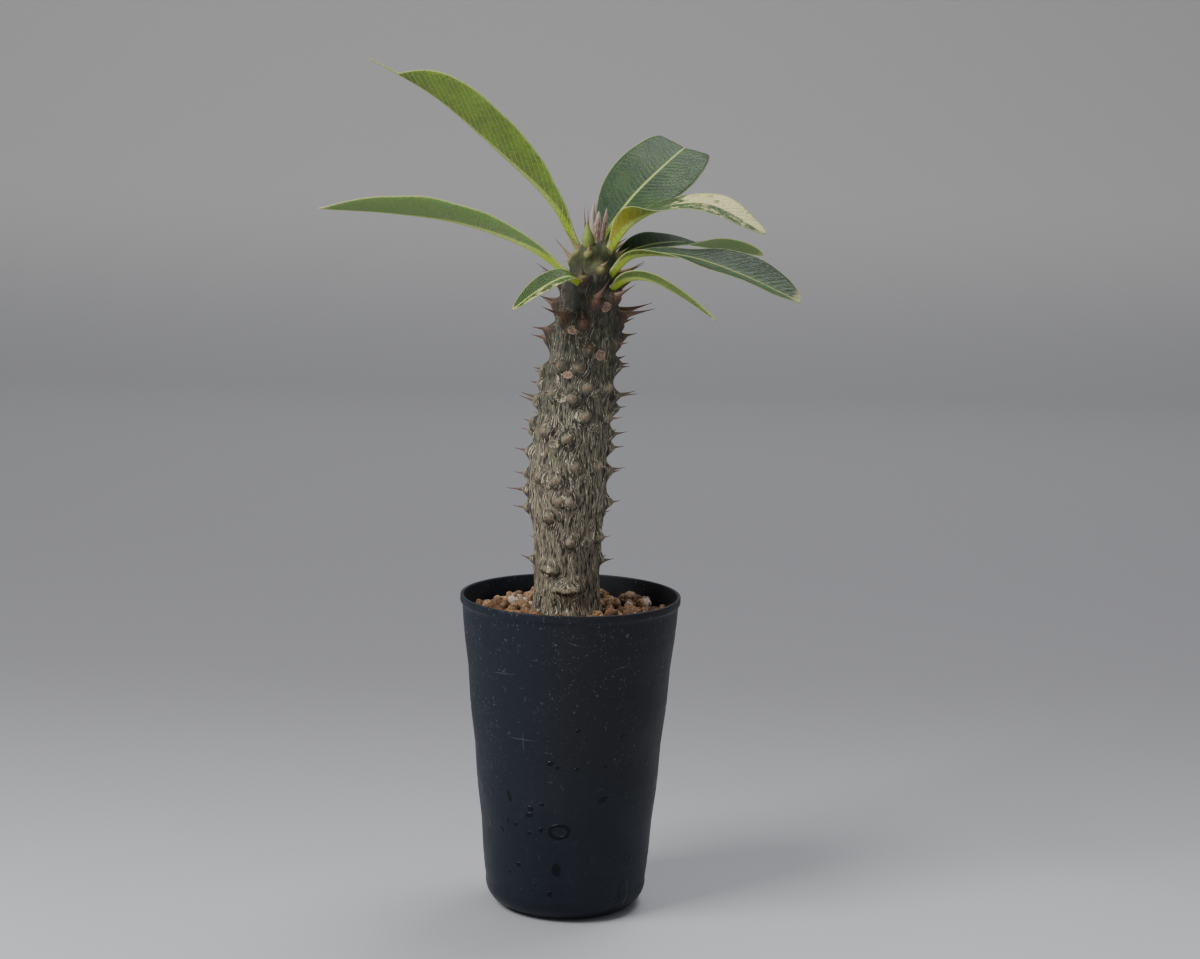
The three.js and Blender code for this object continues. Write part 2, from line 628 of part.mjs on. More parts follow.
const group = new THREE.Group();
const sockets = [
  ...LEAVES.map(leafSocket),
  ...YOUNG_LEAVES.map((leaf) => toSolid(spindle(leaf, GAP))),
];
group.add(meshOf('pot', makePot(), COLOURS.pot));
group.add(meshOf('soil', makeSoil(), COLOURS.soil));
group.add(meshOf('trunk', makeTrunk(sockets), COLOURS.trunk));
for (const leaf of LEAVES) {
  group.add(meshOf(leaf.name, makeLeaf(leaf), COLOURS.leaf));
}
for (const leaf of YOUNG_LEAVES) {
  group.add(meshOf(leaf.name, spindle(leaf, 0), COLOURS.youngLeaf));
}

export default group;
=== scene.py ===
"""A potted Pachypodium baronii: a spiny grey trunk with a crown of long waxy leaves, standing in
coarse baked-clay grit in a deep black nursery pot. Blender 4.5.

Every surface is worked out with numpy as a grid of points, in millimetres, with +Z up, +X to the
plant's right and -Y to its front. Turns are in degrees round the trunk from the front, to the
right. The meshes are made in metres.
"""

import math

import bpy
import numpy as np
from mathutils import Matrix, Vector


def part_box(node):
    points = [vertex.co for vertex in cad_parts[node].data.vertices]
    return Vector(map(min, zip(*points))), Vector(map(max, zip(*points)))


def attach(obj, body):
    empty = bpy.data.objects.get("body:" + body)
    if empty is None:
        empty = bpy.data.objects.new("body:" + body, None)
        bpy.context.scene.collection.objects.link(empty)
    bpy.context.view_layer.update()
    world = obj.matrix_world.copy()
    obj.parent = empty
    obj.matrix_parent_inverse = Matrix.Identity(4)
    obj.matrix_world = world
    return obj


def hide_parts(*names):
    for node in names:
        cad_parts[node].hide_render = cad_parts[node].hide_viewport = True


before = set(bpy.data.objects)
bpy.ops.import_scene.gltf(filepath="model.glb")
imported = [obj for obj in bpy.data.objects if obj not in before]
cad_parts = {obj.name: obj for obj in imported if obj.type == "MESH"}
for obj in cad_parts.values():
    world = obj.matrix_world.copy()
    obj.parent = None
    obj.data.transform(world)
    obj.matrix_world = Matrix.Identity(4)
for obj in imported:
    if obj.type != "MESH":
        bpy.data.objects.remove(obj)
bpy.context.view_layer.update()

bl_info = {
    "name": "Potted Pachypodium",
    "version": (1, 0, 0),
    "blender": (4, 5, 0),
    "location": "3D Viewport > Sidebar > Pachypodium",
    "description": "Makes a spiny-trunked succulent in a black nursery pot, piece by piece",
    "category": "Add Mesh",
}

MM = 0.001

# Pot, in millimetres
CORNER_RADIUS = 9.7
FOOT_RADIUS = 33.0
WALL = 1.2
LIP_HEIGHT = 3.2
LIP_PROUD = 0.25
BAND_DEPTH = 0.35
BAND_LOWEST = 19.4
BAND_SPACING = 16.0
BAND_COUNT = 7
BAND_LINE = 0.13
BAND_LINE_HALF = 0.7
WAVER = 0.2
WAVER_LENGTH = 38.0
BASE_TOP = 3.9
CHANNEL_HEIGHT = 2.5
CHANNEL_INNER = 8.0
CHANNEL_OUTER = 21.5
DRAIN_COUNT = 6
DRAIN_RADIUS = 2.5
DRAIN_CIRCLE = 14.5
NOTCH_COUNT = 3
NOTCH_WIDTH = 14.0
NOTCH_HEIGHT = 1.9
NOTCH_FIRST_TURN = -41.0
POT_COLUMNS = 256
WALL_ROW = 1.1
MARK_RADIUS = 39.0

# Water drops on the pot: turn, height, half width, half height and lean in degrees
DROPS = [
    (-9.6, 68.6, 1.5, 0.9, 10), (-5.4, 67.1, 0.9, 0.7, 0), (6.4, 66.4, 1.0, 0.6, 0),
    (24, 67, 0.9, 0.6, 0), (57, 65, 1.0, 0.8, 0), (34, 79, 1.1, 0.6, 20), (6.3, 82.7, 1.0, 0.7, 0),
    (-38, 52.6, 1.2, 2.4, 22), (-68, 51, 0.9, 1.6, 10), (-54, 52.4, 1.0, 1.5, 0),
    (-15, 51, 1.2, 0.7, 0), (-22.6, 48.8, 1.5, 1.0, -15), (23.6, 52.8, 2.4, 1.3, 25),
    (-59, 38, 1.0, 1.6, 0), (-47, 37, 1.5, 1.2, 0), (-34, 41, 1.1, 1.0, 0), (-40.6, 41.7, 1.0, 1.3, 0),
    (-23.5, 46, 1.8, 1.0, 10), (-24, 38, 1.0, 0.8, 0), (-16, 40, 1.1, 1.0, 0),
    (50, 25, 1.1, 0.9, 0), (-33, 24, 1.3, 0.9, 0), (-41, 20, 0.9, 0.8, 0), (-5.6, 23.5, 2.4, 2.9, 0),
    (-10, 13, 1.3, 1.2, 0), (41, 6, 1.6, 1.1, 0), (120, 60, 1.4, 1.1, 0), (150, 42, 1.9, 1.2, 15),
    (-150, 30, 1.3, 1.6, 0), (-120, 72, 1.2, 0.9, 0), (95, 30, 1.2, 1.4, 0), (175, 22, 1.0, 1.1, 0),
]
WIDE_DROP = (-3.8, 39.8, 5.0, 3.1, 4)
WET_PATCH = (45.9, 11.2, 3.4, 5.4, 0)
# Scratches: turn, height, half length, half width and lean in degrees
SCRATCHES = [
    (-38, 103.8, 5.2, 0.16, 4), (-27, 77.6, 6.2, 0.16, 0), (-26, 76.6, 4.3, 0.14, 90),
    (3, 118.4, 2.6, 0.14, -20), (30, 108, 4.5, 0.12, 12), (140, 90, 6.0, 0.14, -8),
    (-110, 96, 5.0, 0.14, 15), (-160, 60, 4.0, 0.14, 70),
]

# Grit
SOIL_EDGE_HEIGHT = 119.6
SOIL_CROWN_HEIGHT = 121.2
SOIL_CLEARANCE = 0.3
GRAIN_ROWS = 5
GRAIN_COLUMNS = 9
GRAIN_PLANES = 11
GRAIN_SEED = 7
SPIRAL_TURN = 137.508
BED_COLUMNS = 96
BED_ROUGHNESS = 1.1
BED_SUNK = 1.4
ROOT_ROOM = 0.5
CROWN_ROOM = 0.8

# Trunk: height, middle and radius, from the tip of the tap root to the growing point
TRUNK_PROFILE = [
    (78, -1.8, 1.6), (96, -1.8, 6.5), (112, -1.8, 12), (121, -1.8, 14.8), (127, -1.7, 13.8),
    (140, -1.7, 13.2), (155, -1.8, 13.8), (169, -2.1, 15.2), (184, -2.0, 14.9), (200, -0.2, 14.2),
    (218, 2.0, 13.2), (232, 3.4, 12.6), (245, 4.7, 11), (257, 5.7, 9), (265, 6.5, 7), (271, 7.0, 4.4),
    (273.5, 7.0, 1.2),
]
TRUNK_COLUMNS = 240
ROOT_ROWS = 22
BARK_START = 118.0
BARK_ROW = 0.45

# Knobs, each with one spine. Those that the front shows are listed by turn, height, the turn that
# the spine points to, its rise in degrees and its reach from the bark. Those of the back stand in
# pairs, one on each side of a leaf scar and a little above it.
FRONT_KNOBS = [
    (-62, 268.5, -75, 48, 9.5), (-18, 268, 0, 65, 6), (-85, 265, -90, 38, 10), (62, 269, 72, 32, 9.5),
    (95, 268.5, 85, 30, 9.5), (20, 262, 45, 30, 6), (-17, 258.5, -15, 40, 6.5), (78, 259, 80, 20, 12.5),
    (105, 258.5, 95, 20, 12.5), (-95, 256, -95, 25, 13), (-118, 255, -110, 25, 12),
    (12, 249.5, 32, 30, 13.5), (58, 250.5, 55, 25, 12.5), (-75, 248, -80, 16, 9), (-5, 241.5, -8, 30, 7),
    (-40, 243, -62, 14, 11.5), (85, 243, 82, 10, 15), (102, 244, 92, 14, 13.5), (8, 230.5, 20, 20, 6.5),
    (62, 232, 68, 8, 6), (97, 234.5, 92, 6, 7.5), (-86, 237, -85, 5, 8), (-100, 233, -95, 5, 8.5),
    (-34, 224, -60, 5, 5), (-3, 223.5, -5, 10, 4), (88, 223.5, 88, 4, 5.5), (102, 222, 95, 4, 5.5),
    (-88, 221, -90, 6, 5), (-103, 219, -95, 6, 4.5), (14, 215.5, 14, 0, 2.6), (52, 215, 60, 0, 4),
    (-95, 215, -92, 4, 5), (-43, 212.5, -55, 5, 4), (-6, 211, -6, 5, 3.4), (85, 211, 85, 4, 10),
    (102, 210.5, 95, 4, 9), (95, 205.5, 92, 6, 5.5), (-85, 209.5, -85, 6, 8), (-100, 207.5, -95, 10, 8),
    (15, 204, 20, 0, 3.6), (60, 202.5, 68, 0, 6.5), (-88, 199.5, -88, 5, 5), (-42, 197.5, -45, 0, 3.4),
    (-6, 195, -6, -10, 3.6), (92, 195, 90, 5, 6.5), (-97, 196, -92, 2, 5.5), (95, 189.5, 92, 0, 6),
    (-85, 188, -85, 4, 6.5), (10, 183.5, 10, 0, 3.6), (48, 183.5, 55, 0, 5), (82, 181, 85, 5, 7),
    (100, 179, 95, 3, 6), (-44, 179, -55, 5, 4), (-15, 178, -15, 0, 3.4), (-90, 178.5, -88, 2, 5.5),
    (-88, 172, -88, 2, 8.5), (-11, 170, -10, 0, 2.6), (4, 169.5, 4, 0, 2.6), (88, 167.5, 88, 2, 5.5),
    (-28, 163, -32, 0, 3.6), (-80, 165, -82, 3, 6.5), (5, 152.8, 10, 5, 3.6), (62, 154, 75, 8, 5),
    (-40, 141, -40, 5, 2), (-24, 140.5, -24, 5, 2), (-85, 143.5, -85, 12, 5), (85, 143.5, 85, 8, 5),
    (-14, 133, -14, 0, 2), (1, 132.5, 0, 0, 2), (14, 133, 14, 0, 2),
]
FRONT_SCARS = [
    (35, 247), (-22, 238), (30, 228), (-19.5, 220), (31, 213), (-24, 210.6), (33.5, 199.3), (-25.5, 192.3),
    (27, 179), (-30, 176), (36, 152),
]
BACK_SCARS = [
    (140, [140, 158, 175, 191, 206, 221, 235, 249, 262]),
    (-145, [147, 166, 182, 198, 213, 228, 241, 255]),
    (180, [152, 187, 217, 244, 264]),
]
BACK_ASIDE = 5.0
BACK_ABOVE = 3.5
BACK_SPLAY = 8
BACK_REACH = ([140, 200, 225, 245, 265], [4.5, 5.5, 6.5, 12, 9])
BACK_RISE = ([140, 200, 240, 265], [4, 8, 18, 32])
KNOB_HEIGHT = ([133, 145, 163, 180, 200, 224, 232, 243, 252, 260, 268],
               [1.2, 1.5, 2.2, 2.4, 2.6, 2.7, 3.4, 4.8, 4.6, 3.6, 2.8])
KNOB_WIDTH = ([160, 200, 224, 243, 260, 268], [2.3, 2.7, 2.8, 2.9, 2.4, 1.9])
KNOB_ABOVE = ([130, 224, 243, 268], [2.2, 2.3, 2.1, 1.8])
KNOB_BELOW = ([133, 142, 152, 200, 224, 243, 252, 268], [0.9, 1.1, 2.2, 2.8, 3.2, 5.2, 5.0, 3.0])
KNOB_POWER = ([200, 224, 243, 268], [2.2, 2.0, 1.4, 1.5])
SWELL_HEIGHT = ([130, 150, 200, 245, 270], [0.5, 0.8, 1.1, 0.9, 0.5])
SWELL_WIDTH = 4.6
SWELL_TALL = 3.6
SWELL_SHARED = 0.6
FLOW_PUSH = 0.7
FLOW_WIDTH = 5.2
FLOW_TALL = 4.6
SCAR_HALF_WIDTH = 2.9
SCAR_HALF_HEIGHT = 1.9
SCAR_DEPTH = 0.5
FISSURE_DEPTH = 0.16
LUMP_DEPTH = 0.4
SPINE_RADIUS = ([130, 200, 224, 243, 256, 270], [1.2, 1.4, 1.7, 2.3, 2.0, 1.5])
SPINE_SUNK = 1.6
SPINE_TAPER = 3.0
SPINE_SECTION = (0.92, 1.16)
SPINE_COLUMNS = 12
SPINE_ROWS = 15
SPINE_SEED = 31
STUB_FROM_HEIGHT = 215
STUB_TO_HEIGHT = 250
STUB_ROUND_FROM = 222
STUB_ROUND = 0.9
STUB_FLAT = 0.62
STUB_RADIUS = 2.4
STUB_PROUD = 1.5
STUB_SUNK = 1.5
STUB_TILT = 0.1
STUB_COLUMNS = 26
BUD = ((4.4, -3.2, 269.5), (3.7, -3.9, 280.5), 2.4)
YOUNG_SPINES = [
    ((3.3, -3.4, 275), (2.4, -3, 286.5), 0.7),
    ((4.3, -4, 275), (4, -4, 286.0), 0.7),
]

# Leaves: rib is the line of the midrib from the trunk to the tip. width is the half width of the
# blade where it is widest, peak is where on the blade that is, rise and fall are the powers by
# which it widens and narrows, and tail is the share of the rib that runs on past the blade. left
# and right are how far each half of the blade rises from level, in degrees, at equal steps from
# base to tip, as seen along the rib. vein is the spacing of the side veins in millimetres, lean is
# how far they run on along the rib for each millimetre across, and bloom is how far the wax hides
# them. cream is how far the left and the right half are painted pale yellow as a glare
# highlight, and the two shares of the way along between which that sets in. glow is
# how far the foot of the blade is painted yellow as light shining through it.
LEAVES = [
    dict(name="leaf_upper_left", width=14.4, peak=0.56, rise=1.8, fall=0.9, tail=0.11,
         left=(60, 57, 54), right=(52, 49, 46), vein=3.6, lean=1.6, bloom=0.0,
         rib=[(1, -1, 269), (-11, -3, 288.5), (-33, -6, 309), (-57, -8, 328.5), (-82, -10, 342)]),
    dict(name="leaf_left", width=9.9, peak=0.46, rise=1.8, fall=1.1, left=(56, 52, 48), right=(44, 42, 40),
         vein=3.4, lean=0.9, bloom=0.85,
         rib=[(-3, 1, 259.5), (-20, 2, 270), (-46, 5, 278.5), (-75, 8, 282), (-104, 9, 283)]),
    dict(name="leaf_lower_left", width=7, peak=0.5, left=(-8, 2, 2), right=(40, 34, 24),
         vein=2.4, lean=0.8, bloom=0.3, cream=(0.62, 0.1, 0.1, 0.6), glow=0.9,
         rib=[(2, -8, 256), (-3, -14, 258.6), (-9, -19, 257), (-16, -24.5, 253), (-24, -30, 247)]),
    dict(name="leaf_broad_upper_right", width=16.8, peak=0.52, rise=1.2, fall=1.05,
         left=(28, 28, 30, 24), right=(0, -16, -24, 0), vein=2.6, lean=0.62, bloom=0.0,
         rib=[(9, 5, 268), (14, 8, 279), (22, 16, 290), (33, 29, 301), (43, 45, 309.5), (42, 60, 306)]),
    dict(name="leaf_arching_right", width=12.5, peak=0.66, rise=1.0, fall=0.62,
         left=(40, 30, 18, 18, 14), right=(60, 50, -4, -10, -4), vein=3.0, lean=0.7, bloom=0.0,
         cream=(0.88, 0.56, 0.34, 0.66), glow=0.7,
         rib=[(12, -2, 268), (21, -9, 280), (34, -17, 287), (52, -28, 288.5), (72, -37, 278.5)]),
    dict(name="leaf_back_right", width=11, peak=0.6, left=(34, 38, 22, 5, 0),
         right=(0, -7, 0, 26, 36), vein=3.2, lean=0.8, bloom=0.8,
         rib=[(13, 3, 262), (24, 11, 269), (40, 24, 271.5), (58, 35, 269), (77, 46, 266)]),
    dict(name="leaf_long_right", width=13.5, peak=0.66, rise=1.9, fall=0.62, left=(40, 22, 20, 30, 34),
         right=(34, 24, -3, -2, 0), vein=3.0, lean=0.8, bloom=0.0,
         rib=[(13, -4, 259), (23, -12, 268), (43, -19, 268), (64, -25, 262), (87, -29, 252)]),
    dict(name="leaf_lower_right", width=5.2, peak=0.5, left=(25, 15, 15), right=(30, 45, 60),
         vein=2.4, lean=0.8, bloom=0.5,
         rib=[(14, -5, 254.5), (21, -8, 258.5), (30, -13, 258.3), (42, -19, 252.5), (55, -26, 244)]),
]
PETIOLE_HALF_WIDTH = 1.7
PETIOLE_DEPTH = 1.7
RIB_HALF_WIDTH = 1.4
PETIOLE_SHARE = 0.06
TIP_HALF_WIDTH = 0.5
TIP_FALL = 0.75
EDGE_WAVE = 0.9
WAVE_LENGTH = 13
RIB_PROUD = 0.35
EDGE_THINNED = 0.45
VEIN_HALF_WIDTH = 0.13
VEIN_CURVE = 0.012
VEIN_SHIFT = 0.4
UPPER_PUFF, UPPER_VEIN = 0.11, 0.08
LOWER_PUFF, LOWER_VEIN = 0.09, 0.12
PEG_LENGTH = 2.6
LEAF_STATIONS = 210
LEAF_PLACES = 29

# Furled young leaves at the growing point: name, foot, tip and radius
YOUNG_LEAVES = [
    ("young_leaf_1", (6.8, 1.2, 270), (6.7, 2, 288.7), 1.4),
    ("young_leaf_2", (7.8, -2.6, 269), (8.4, -3.4, 284.5), 1.4),
    ("young_leaf_3", (9.8, 1, 269.5), (11.5, 2, 285.6), 0.9),
]
YOUNG_ROWS = 60
YOUNG_COLUMNS = 28
YOUNG_BOW = 0.35
GROOVE_DEPTH = 0.3

# Camera, in metres and degrees, and the stage
CAMERA_PLACE = (0.01098, -0.91981, 0.31492)
CAMERA_PITCH = 8.557
CAMERA_ROLL = 1.201
CAMERA_LENS = 69.0
CAMERA_SENSOR = 36.0


# Arithmetic on whole arrays

def mix(low, high, share):
    return low + (high - low) * share


def smooth(value, low, high):
    """0 below low and 1 above high, with a smooth rise between."""
    share = np.clip((value - low) / (high - low), 0, 1)
    return share * share * (3 - 2 * share)


def unit(vectors):
    return vectors / np.linalg.norm(vectors, axis=-1, keepdims=True)


def outward(turn):
    """The level direction at a turn in degrees from the front."""
    angle = np.radians(turn)
    return np.stack([np.sin(angle), -np.cos(angle), 0 * angle], -1)


def wrapped(turn):
    """A turn in degrees, brought between -180 and 180."""
    return (np.asarray(turn) + 180) % 360 - 180


def curve_through(points, share, clamped=False):
    """Places and slopes on a uniform Catmull-Rom curve. Past its ends the curve goes on straight,
    or where clamped is set, the end points count twice."""
    points = np.asarray(points, float)
    first, last = points[0], points[-1]
    before = first if clamped else 2 * first - points[1]
    after = last if clamped else 2 * last - points[-2]
    knots = np.vstack([before, points, after])
    place = np.clip(share, 0, 1) * (len(points) - 1)
    low = np.minimum(place.astype(int), len(points) - 2)
    t = (place - low)[:, None]
    p0, p1, p2, p3 = (knots[low + step] for step in range(4))
    m1, m2 = (p2 - p0) / 2, (p3 - p1) / 2
    place = ((2 * t - 3) * t * t + 1) * p1 + ((t - 2) * t + 1) * t * m1
    place += (3 - 2 * t) * t * t * p2 + (t - 1) * t * t * m2
    slope = 6 * t * (t - 1) * (p1 - p2) + ((3 * t - 4) * t + 1) * m1 + (3 * t - 2) * t * m2
    return place, slope


def eased(values, share):
    """Values at equal steps from 0 to 1, with a smooth curve between them."""
    return curve_through(np.array(values, float)[:, None], share, clamped=True)[0][:, 0]


def lattice(cell, seed):
    """A draw from -1 to 1 for each whole-number place, the same on every run."""
    mixed = cell[..., 0] * 374761393 + cell[..., 1] * 668265263 + cell[..., 2] * 1440662683
    mixed = (mixed + seed * 974634777) & 0xFFFFFFFF
    mixed = ((mixed ^ (mixed >> 13)) * 1274126177) & 0xFFFFFFFF
    return ((mixed ^ (mixed >> 16)) & 0xFFFF) / 32767.5 - 1


def noise(places, seed=0):
    """Value noise: the draws at the eight corners round each place, blended smoothly."""
    cell = np.floor(places).astype(np.int64)
    t = places - cell
    t = t * t * (3 - 2 * t)
    total = 0
    for corner in np.ndindex(2, 2, 2):
        weight = np.prod(np.where(np.array(corner) == 1, t, 1 - t), axis=-1)
        total = total + weight * lattice(cell + np.array(corner), seed)
    return total


def rough(places, seed):
    """Noise at three sizes added up, each half as large and half as strong as the last."""
    return sum(noise(places * 2 ** step, seed + step) / 2 ** step for step in range(3))


# Meshes

class Skin:
    """The points, faces, corner coordinates and point values of one mesh, body by body."""

    def __init__(self):
        self.points, self.values, self.count = [], [], 0
        self.faces, self.corners = [], []

    def add_tube(self, grid, flat=None, **values):
        """A closed body over a grid of rings, with a fan on each end. flat holds two surface
        coordinates for each ring place, with one column more than the grid, because the first
        column comes again at the seam. values are numbers or one array each, a row to a ring."""
        rows, columns = grid.shape[:2]
        if flat is None:
            flat = np.zeros((rows, columns + 1, 2))
        ring = np.arange(rows)[:, None] * columns + np.arange(columns + 1) % columns
        wide = np.arange(rows * (columns + 1)).reshape(rows, columns + 1)

        def quads(index):
            return np.stack([index[:-1, :-1], index[:-1, 1:], index[1:, 1:], index[1:, :-1]], -1)

        poles = rows * columns + np.arange(2)
        points = np.vstack([grid.reshape(-1, 3), grid[[0, -1]].mean(1)])
        sides = quads(ring).reshape(-1, 4)
        fans = [np.stack([np.full(columns, poles[0]), ring[0, 1:], ring[0, :-1]], -1),
                np.stack([np.full(columns, poles[1]), ring[-1, :-1], ring[-1, 1:]], -1)]
        side_corners = flat.reshape(-1, 2)[quads(wide).reshape(-1, 4)]
        fan_corners = []
        for row, first, second in ((flat[0], 1, 0), (flat[-1], 0, 1)):
            pair = [row[first:columns + first], row[second:columns + second]]
            fan_corners.append(np.stack([(pair[0] + pair[1]) / 2, *pair], 1))
        faces, corners = [sides, *fans], [side_corners, *fan_corners]
        if enclosed(points, faces) < 0:
            faces = [part[:, ::-1] for part in faces]
            corners = [part[:, ::-1] for part in corners]
        self.faces += [part + self.count for part in faces]
        self.corners += corners
        self.points.append(points)
        self.count += len(points)
        spread = {}
        for name, value in values.items():
            value = np.broadcast_to(value, (rows, columns))
            spread[name] = np.append(value.ravel(), value[[0, -1]].mean(1))
        self.values.append(spread)

    def to_object(self, name, finish):
        """The gathered bodies as one mesh object at the origin, in metres."""
        old = bpy.data.objects.get(name)
        if old is not None:
            bpy.data.objects.remove(old)
        points = np.vstack(self.points) * MM
        if not np.isfinite(points).all():
            raise ValueError(f"{name} has a point that is no number")
        mesh = bpy.data.meshes.new(name)
        loops = np.concatenate([part.ravel() for part in self.faces])
        sizes = np.concatenate([np.full(len(part), part.shape[1]) for part in self.faces])
        mesh.vertices.add(len(points))
        mesh.vertices.foreach_set("co", points.astype(np.float32).ravel())
        mesh.loops.add(len(loops))
        mesh.loops.foreach_set("vertex_index", loops.astype(np.int32))
        mesh.polygons.add(len(sizes))
        mesh.polygons.foreach_set("loop_start", (np.cumsum(sizes) - sizes).astype(np.int32))
        mesh.polygons.foreach_set("use_smooth", np.ones(len(sizes), bool))
        mesh.update(calc_edges=True)
        coordinates = np.vstack([part.reshape(-1, 2) for part in self.corners])
        mesh.uv_layers.new(name="surface").data.foreach_set("uv", coordinates.astype(np.float32).ravel())
        for key in self.values[0]:
            values = np.concatenate([spread[key] for spread in self.values])
            layer = mesh.attributes.new(key, "FLOAT", "POINT")
            layer.data.foreach_set("value", values.astype(np.float32))
        mesh.materials.append(finish)
        piece = bpy.data.objects.new(name, mesh)
        bpy.context.scene.collection.objects.link(piece)
        return piece


def enclosed(points, faces):
    """The volume that the faces enclose, below 0 where they point inwards."""
    total = 0.0
    for part in faces:
        corners = points[part]
        for step in range(1, part.shape[1] - 1):
            cross = np.cross(corners[:, step], corners[:, step + 1])
            total += np.einsum("ij,ij->", corners[:, 0], cross) / 6
    return total


def stand_for(piece, nodes):
    """Joins a finished piece to the frame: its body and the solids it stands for."""
    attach(piece, "root")
    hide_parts(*nodes)


def lathe(profile, columns, middle=None):
    """Rings of a profile of radius and height, turned about the upright through middle."""
    turn = np.arange(columns) * 360 / columns - 180
    rings = profile[:, None, :1] * outward(turn)[None]
    rings[..., 2] = profile[:, None, 1]
    if middle is not None:
        rings[..., 0] += middle[:, None]
    return rings


def rounded_path(corners, rounding, step):
    """Points along a path of straight stretches, with a small curve at each corner and no
    stretch longer than step."""
    corners = np.asarray(corners, float)
    points = [corners[:1]]
    for before, corner, after in zip(corners, corners[1:], corners[2:]):
        reach = min(rounding, np.linalg.norm(corner - before) / 2.5, np.linalg.norm(after - corner) / 2.5)
        low = corner + unit(before - corner) * reach
        high = corner + unit(after - corner) * reach
        t = np.linspace(0, 1, 4)[:, None]
        points.append((1 - t) ** 2 * low + 2 * t * (1 - t) * corner + t * t * high)
    points.append(corners[-1:])
    rough_path = np.vstack(points)
    gaps = np.linalg.norm(np.diff(rough_path, axis=0), axis=1)
    counts = np.maximum(1, np.ceil(gaps / step)).astype(int)
    pieces = [mix(a, b, np.arange(n)[:, None] / n) for a, b, n in zip(rough_path, rough_path[1:], counts)]
    return np.vstack([*pieces, rough_path[-1:]])


# Materials

class Finish:
    """A material in the making. Each method adds one node and gives back its output."""

    def __init__(self, name, shader=()):
        old = bpy.data.materials.get(name)
        if old is not None:
            bpy.data.materials.remove(old)
        self.material = bpy.data.materials.new(name)
        self.material.use_nodes = True
        self.nodes = self.material.node_tree.nodes
        self.links = self.material.node_tree.links
        self.shader = self.nodes["Principled BSDF"]
        for socket, value in dict(shader).items():
            self.shader.inputs[socket].default_value = value

    def feed(self, socket, value):
        if isinstance(value, bpy.types.NodeSocket):
            self.links.new(value, socket)
        else:
            socket.default_value = value

    def node(self, kind, *inputs, out=0, **settings):
        made = self.nodes.new("ShaderNode" + kind)
        for name, value in settings.items():
            setattr(made, name, value)
        for socket, value in zip(made.inputs, inputs):
            if value is not None:
                self.feed(socket, value)
        return made.outputs[out]

    def coordinates(self):
        return self.node("TexCoord", out=3)

    def surface(self):
        return self.node("UVMap", uv_map="surface")

    def value(self, name):
        return self.node("Attribute", attribute_name=name, out=2)

    def stretched(self, place, scale):
        return self.node("Mapping", place, None, None, scale)

    def axis(self, place, index):
        return self.node("SeparateXYZ", place, out=index)

    def math(self, operation, *values):
        return self.node("Math", *values, operation=operation)

    def times(self, first, *others):
        for other in others:
            first = self.math("MULTIPLY", first, other)
        return first

    def plus(self, first, *others):
        for other in others:
            first = self.math("ADD", first, other)
        return first

    def off(self, value, middle):
        """How far a value lies from middle, to either side."""
        return self.math("ABSOLUTE", self.math("SUBTRACT", value, middle))

    def mixed(self, share, first, second):
        made = self.nodes.new("ShaderNodeMix")
        made.data_type = "RGBA"
        self.feed(made.inputs[0], share)
        for index, tone in ((6, first), (7, second)):
            self.feed(made.inputs[index], tone if isinstance(tone, bpy.types.NodeSocket) else colour(tone))
        return made.outputs[2]

    def layered(self, base, *layers):
        """A colour with others laid over it one after another, each given with its share."""
        for share, tone in layers:
            base = self.mixed(share, base, tone)
        return base

    def noise(self, place, scale, detail=2.0, roughness=0.5, distortion=0.0):
        made = self.nodes.new("ShaderNodeTexNoise")
        for name, value in (("Vector", place), ("Scale", scale), ("Detail", detail),
                            ("Roughness", roughness), ("Distortion", distortion)):
            self.feed(made.inputs[name], value)
        return made.outputs[0]

    def cells(self, place, scale, feature="F1"):
        made = self.nodes.new("ShaderNodeTexVoronoi")
        made.feature = feature
        self.feed(made.inputs["Vector"], place)
        self.feed(made.inputs["Scale"], scale)
        return made.outputs[0]

    def step(self, value, low, high, at_low=0.0, at_high=1.0):
        """A smooth change from at_low to at_high as value goes from low to high."""
        return self.node("MapRange", value, low, high, at_low, at_high, interpolation_type="SMOOTHSTEP")

    def where(self, *steps):
        """The product of several steps, each given as its value and its limits."""
        return self.times(*(self.step(*limits) for limits in steps))

    def ramp(self, value, *stops):
        made = self.nodes.new("ShaderNodeValToRGB")
        self.feed(made.inputs[0], value)
        while len(made.color_ramp.elements) < len(stops):
            made.color_ramp.elements.new(0.5)
        for element, (place, tone) in zip(made.color_ramp.elements, stops):
            element.position = place
            element.color = colour(tone)
        return made.outputs[0]

    def spot(self, place, middle, size, lean):
        """How far a place is from middle, counted in the spot's own size: 1 on its edge."""
        local = self.node("Mapping", place, (*middle, 0), (0, 0, math.radians(lean)), (*size, 1),
                          vector_type="TEXTURE")
        return self.node("VectorMath", local, operation="LENGTH", out=1)

    def set(self, socket, value):
        self.feed(self.shader.inputs[socket], value)

    def relief(self, height, distance):
        """Bumps of the surface by height, where a height of 1 stands distance metres proud."""
        bump = self.nodes.new("ShaderNodeBump")
        bump.inputs["Distance"].default_value = distance
        self.feed(bump.inputs["Height"], height)
        self.set("Normal", bump.outputs[0])


def colour(value):
    return (*value[:3], 1.0)


# Pot

def frame_size(node, axis):
    low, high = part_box(node)
    return high[axis] - low[axis]


def number(label, about, default, **more):
    return bpy.props.FloatProperty(name=label, description=about, default=default, min=0.0, **more)


def length(label, about, default):
    return number(label, about, default, unit="LENGTH", subtype="DISTANCE", precision=4)


def shade(label, about, default):
    return bpy.props.FloatVectorProperty(name=label, description=about, default=default, size=3,
                                         min=0.0, max=1.0, subtype="COLOR")


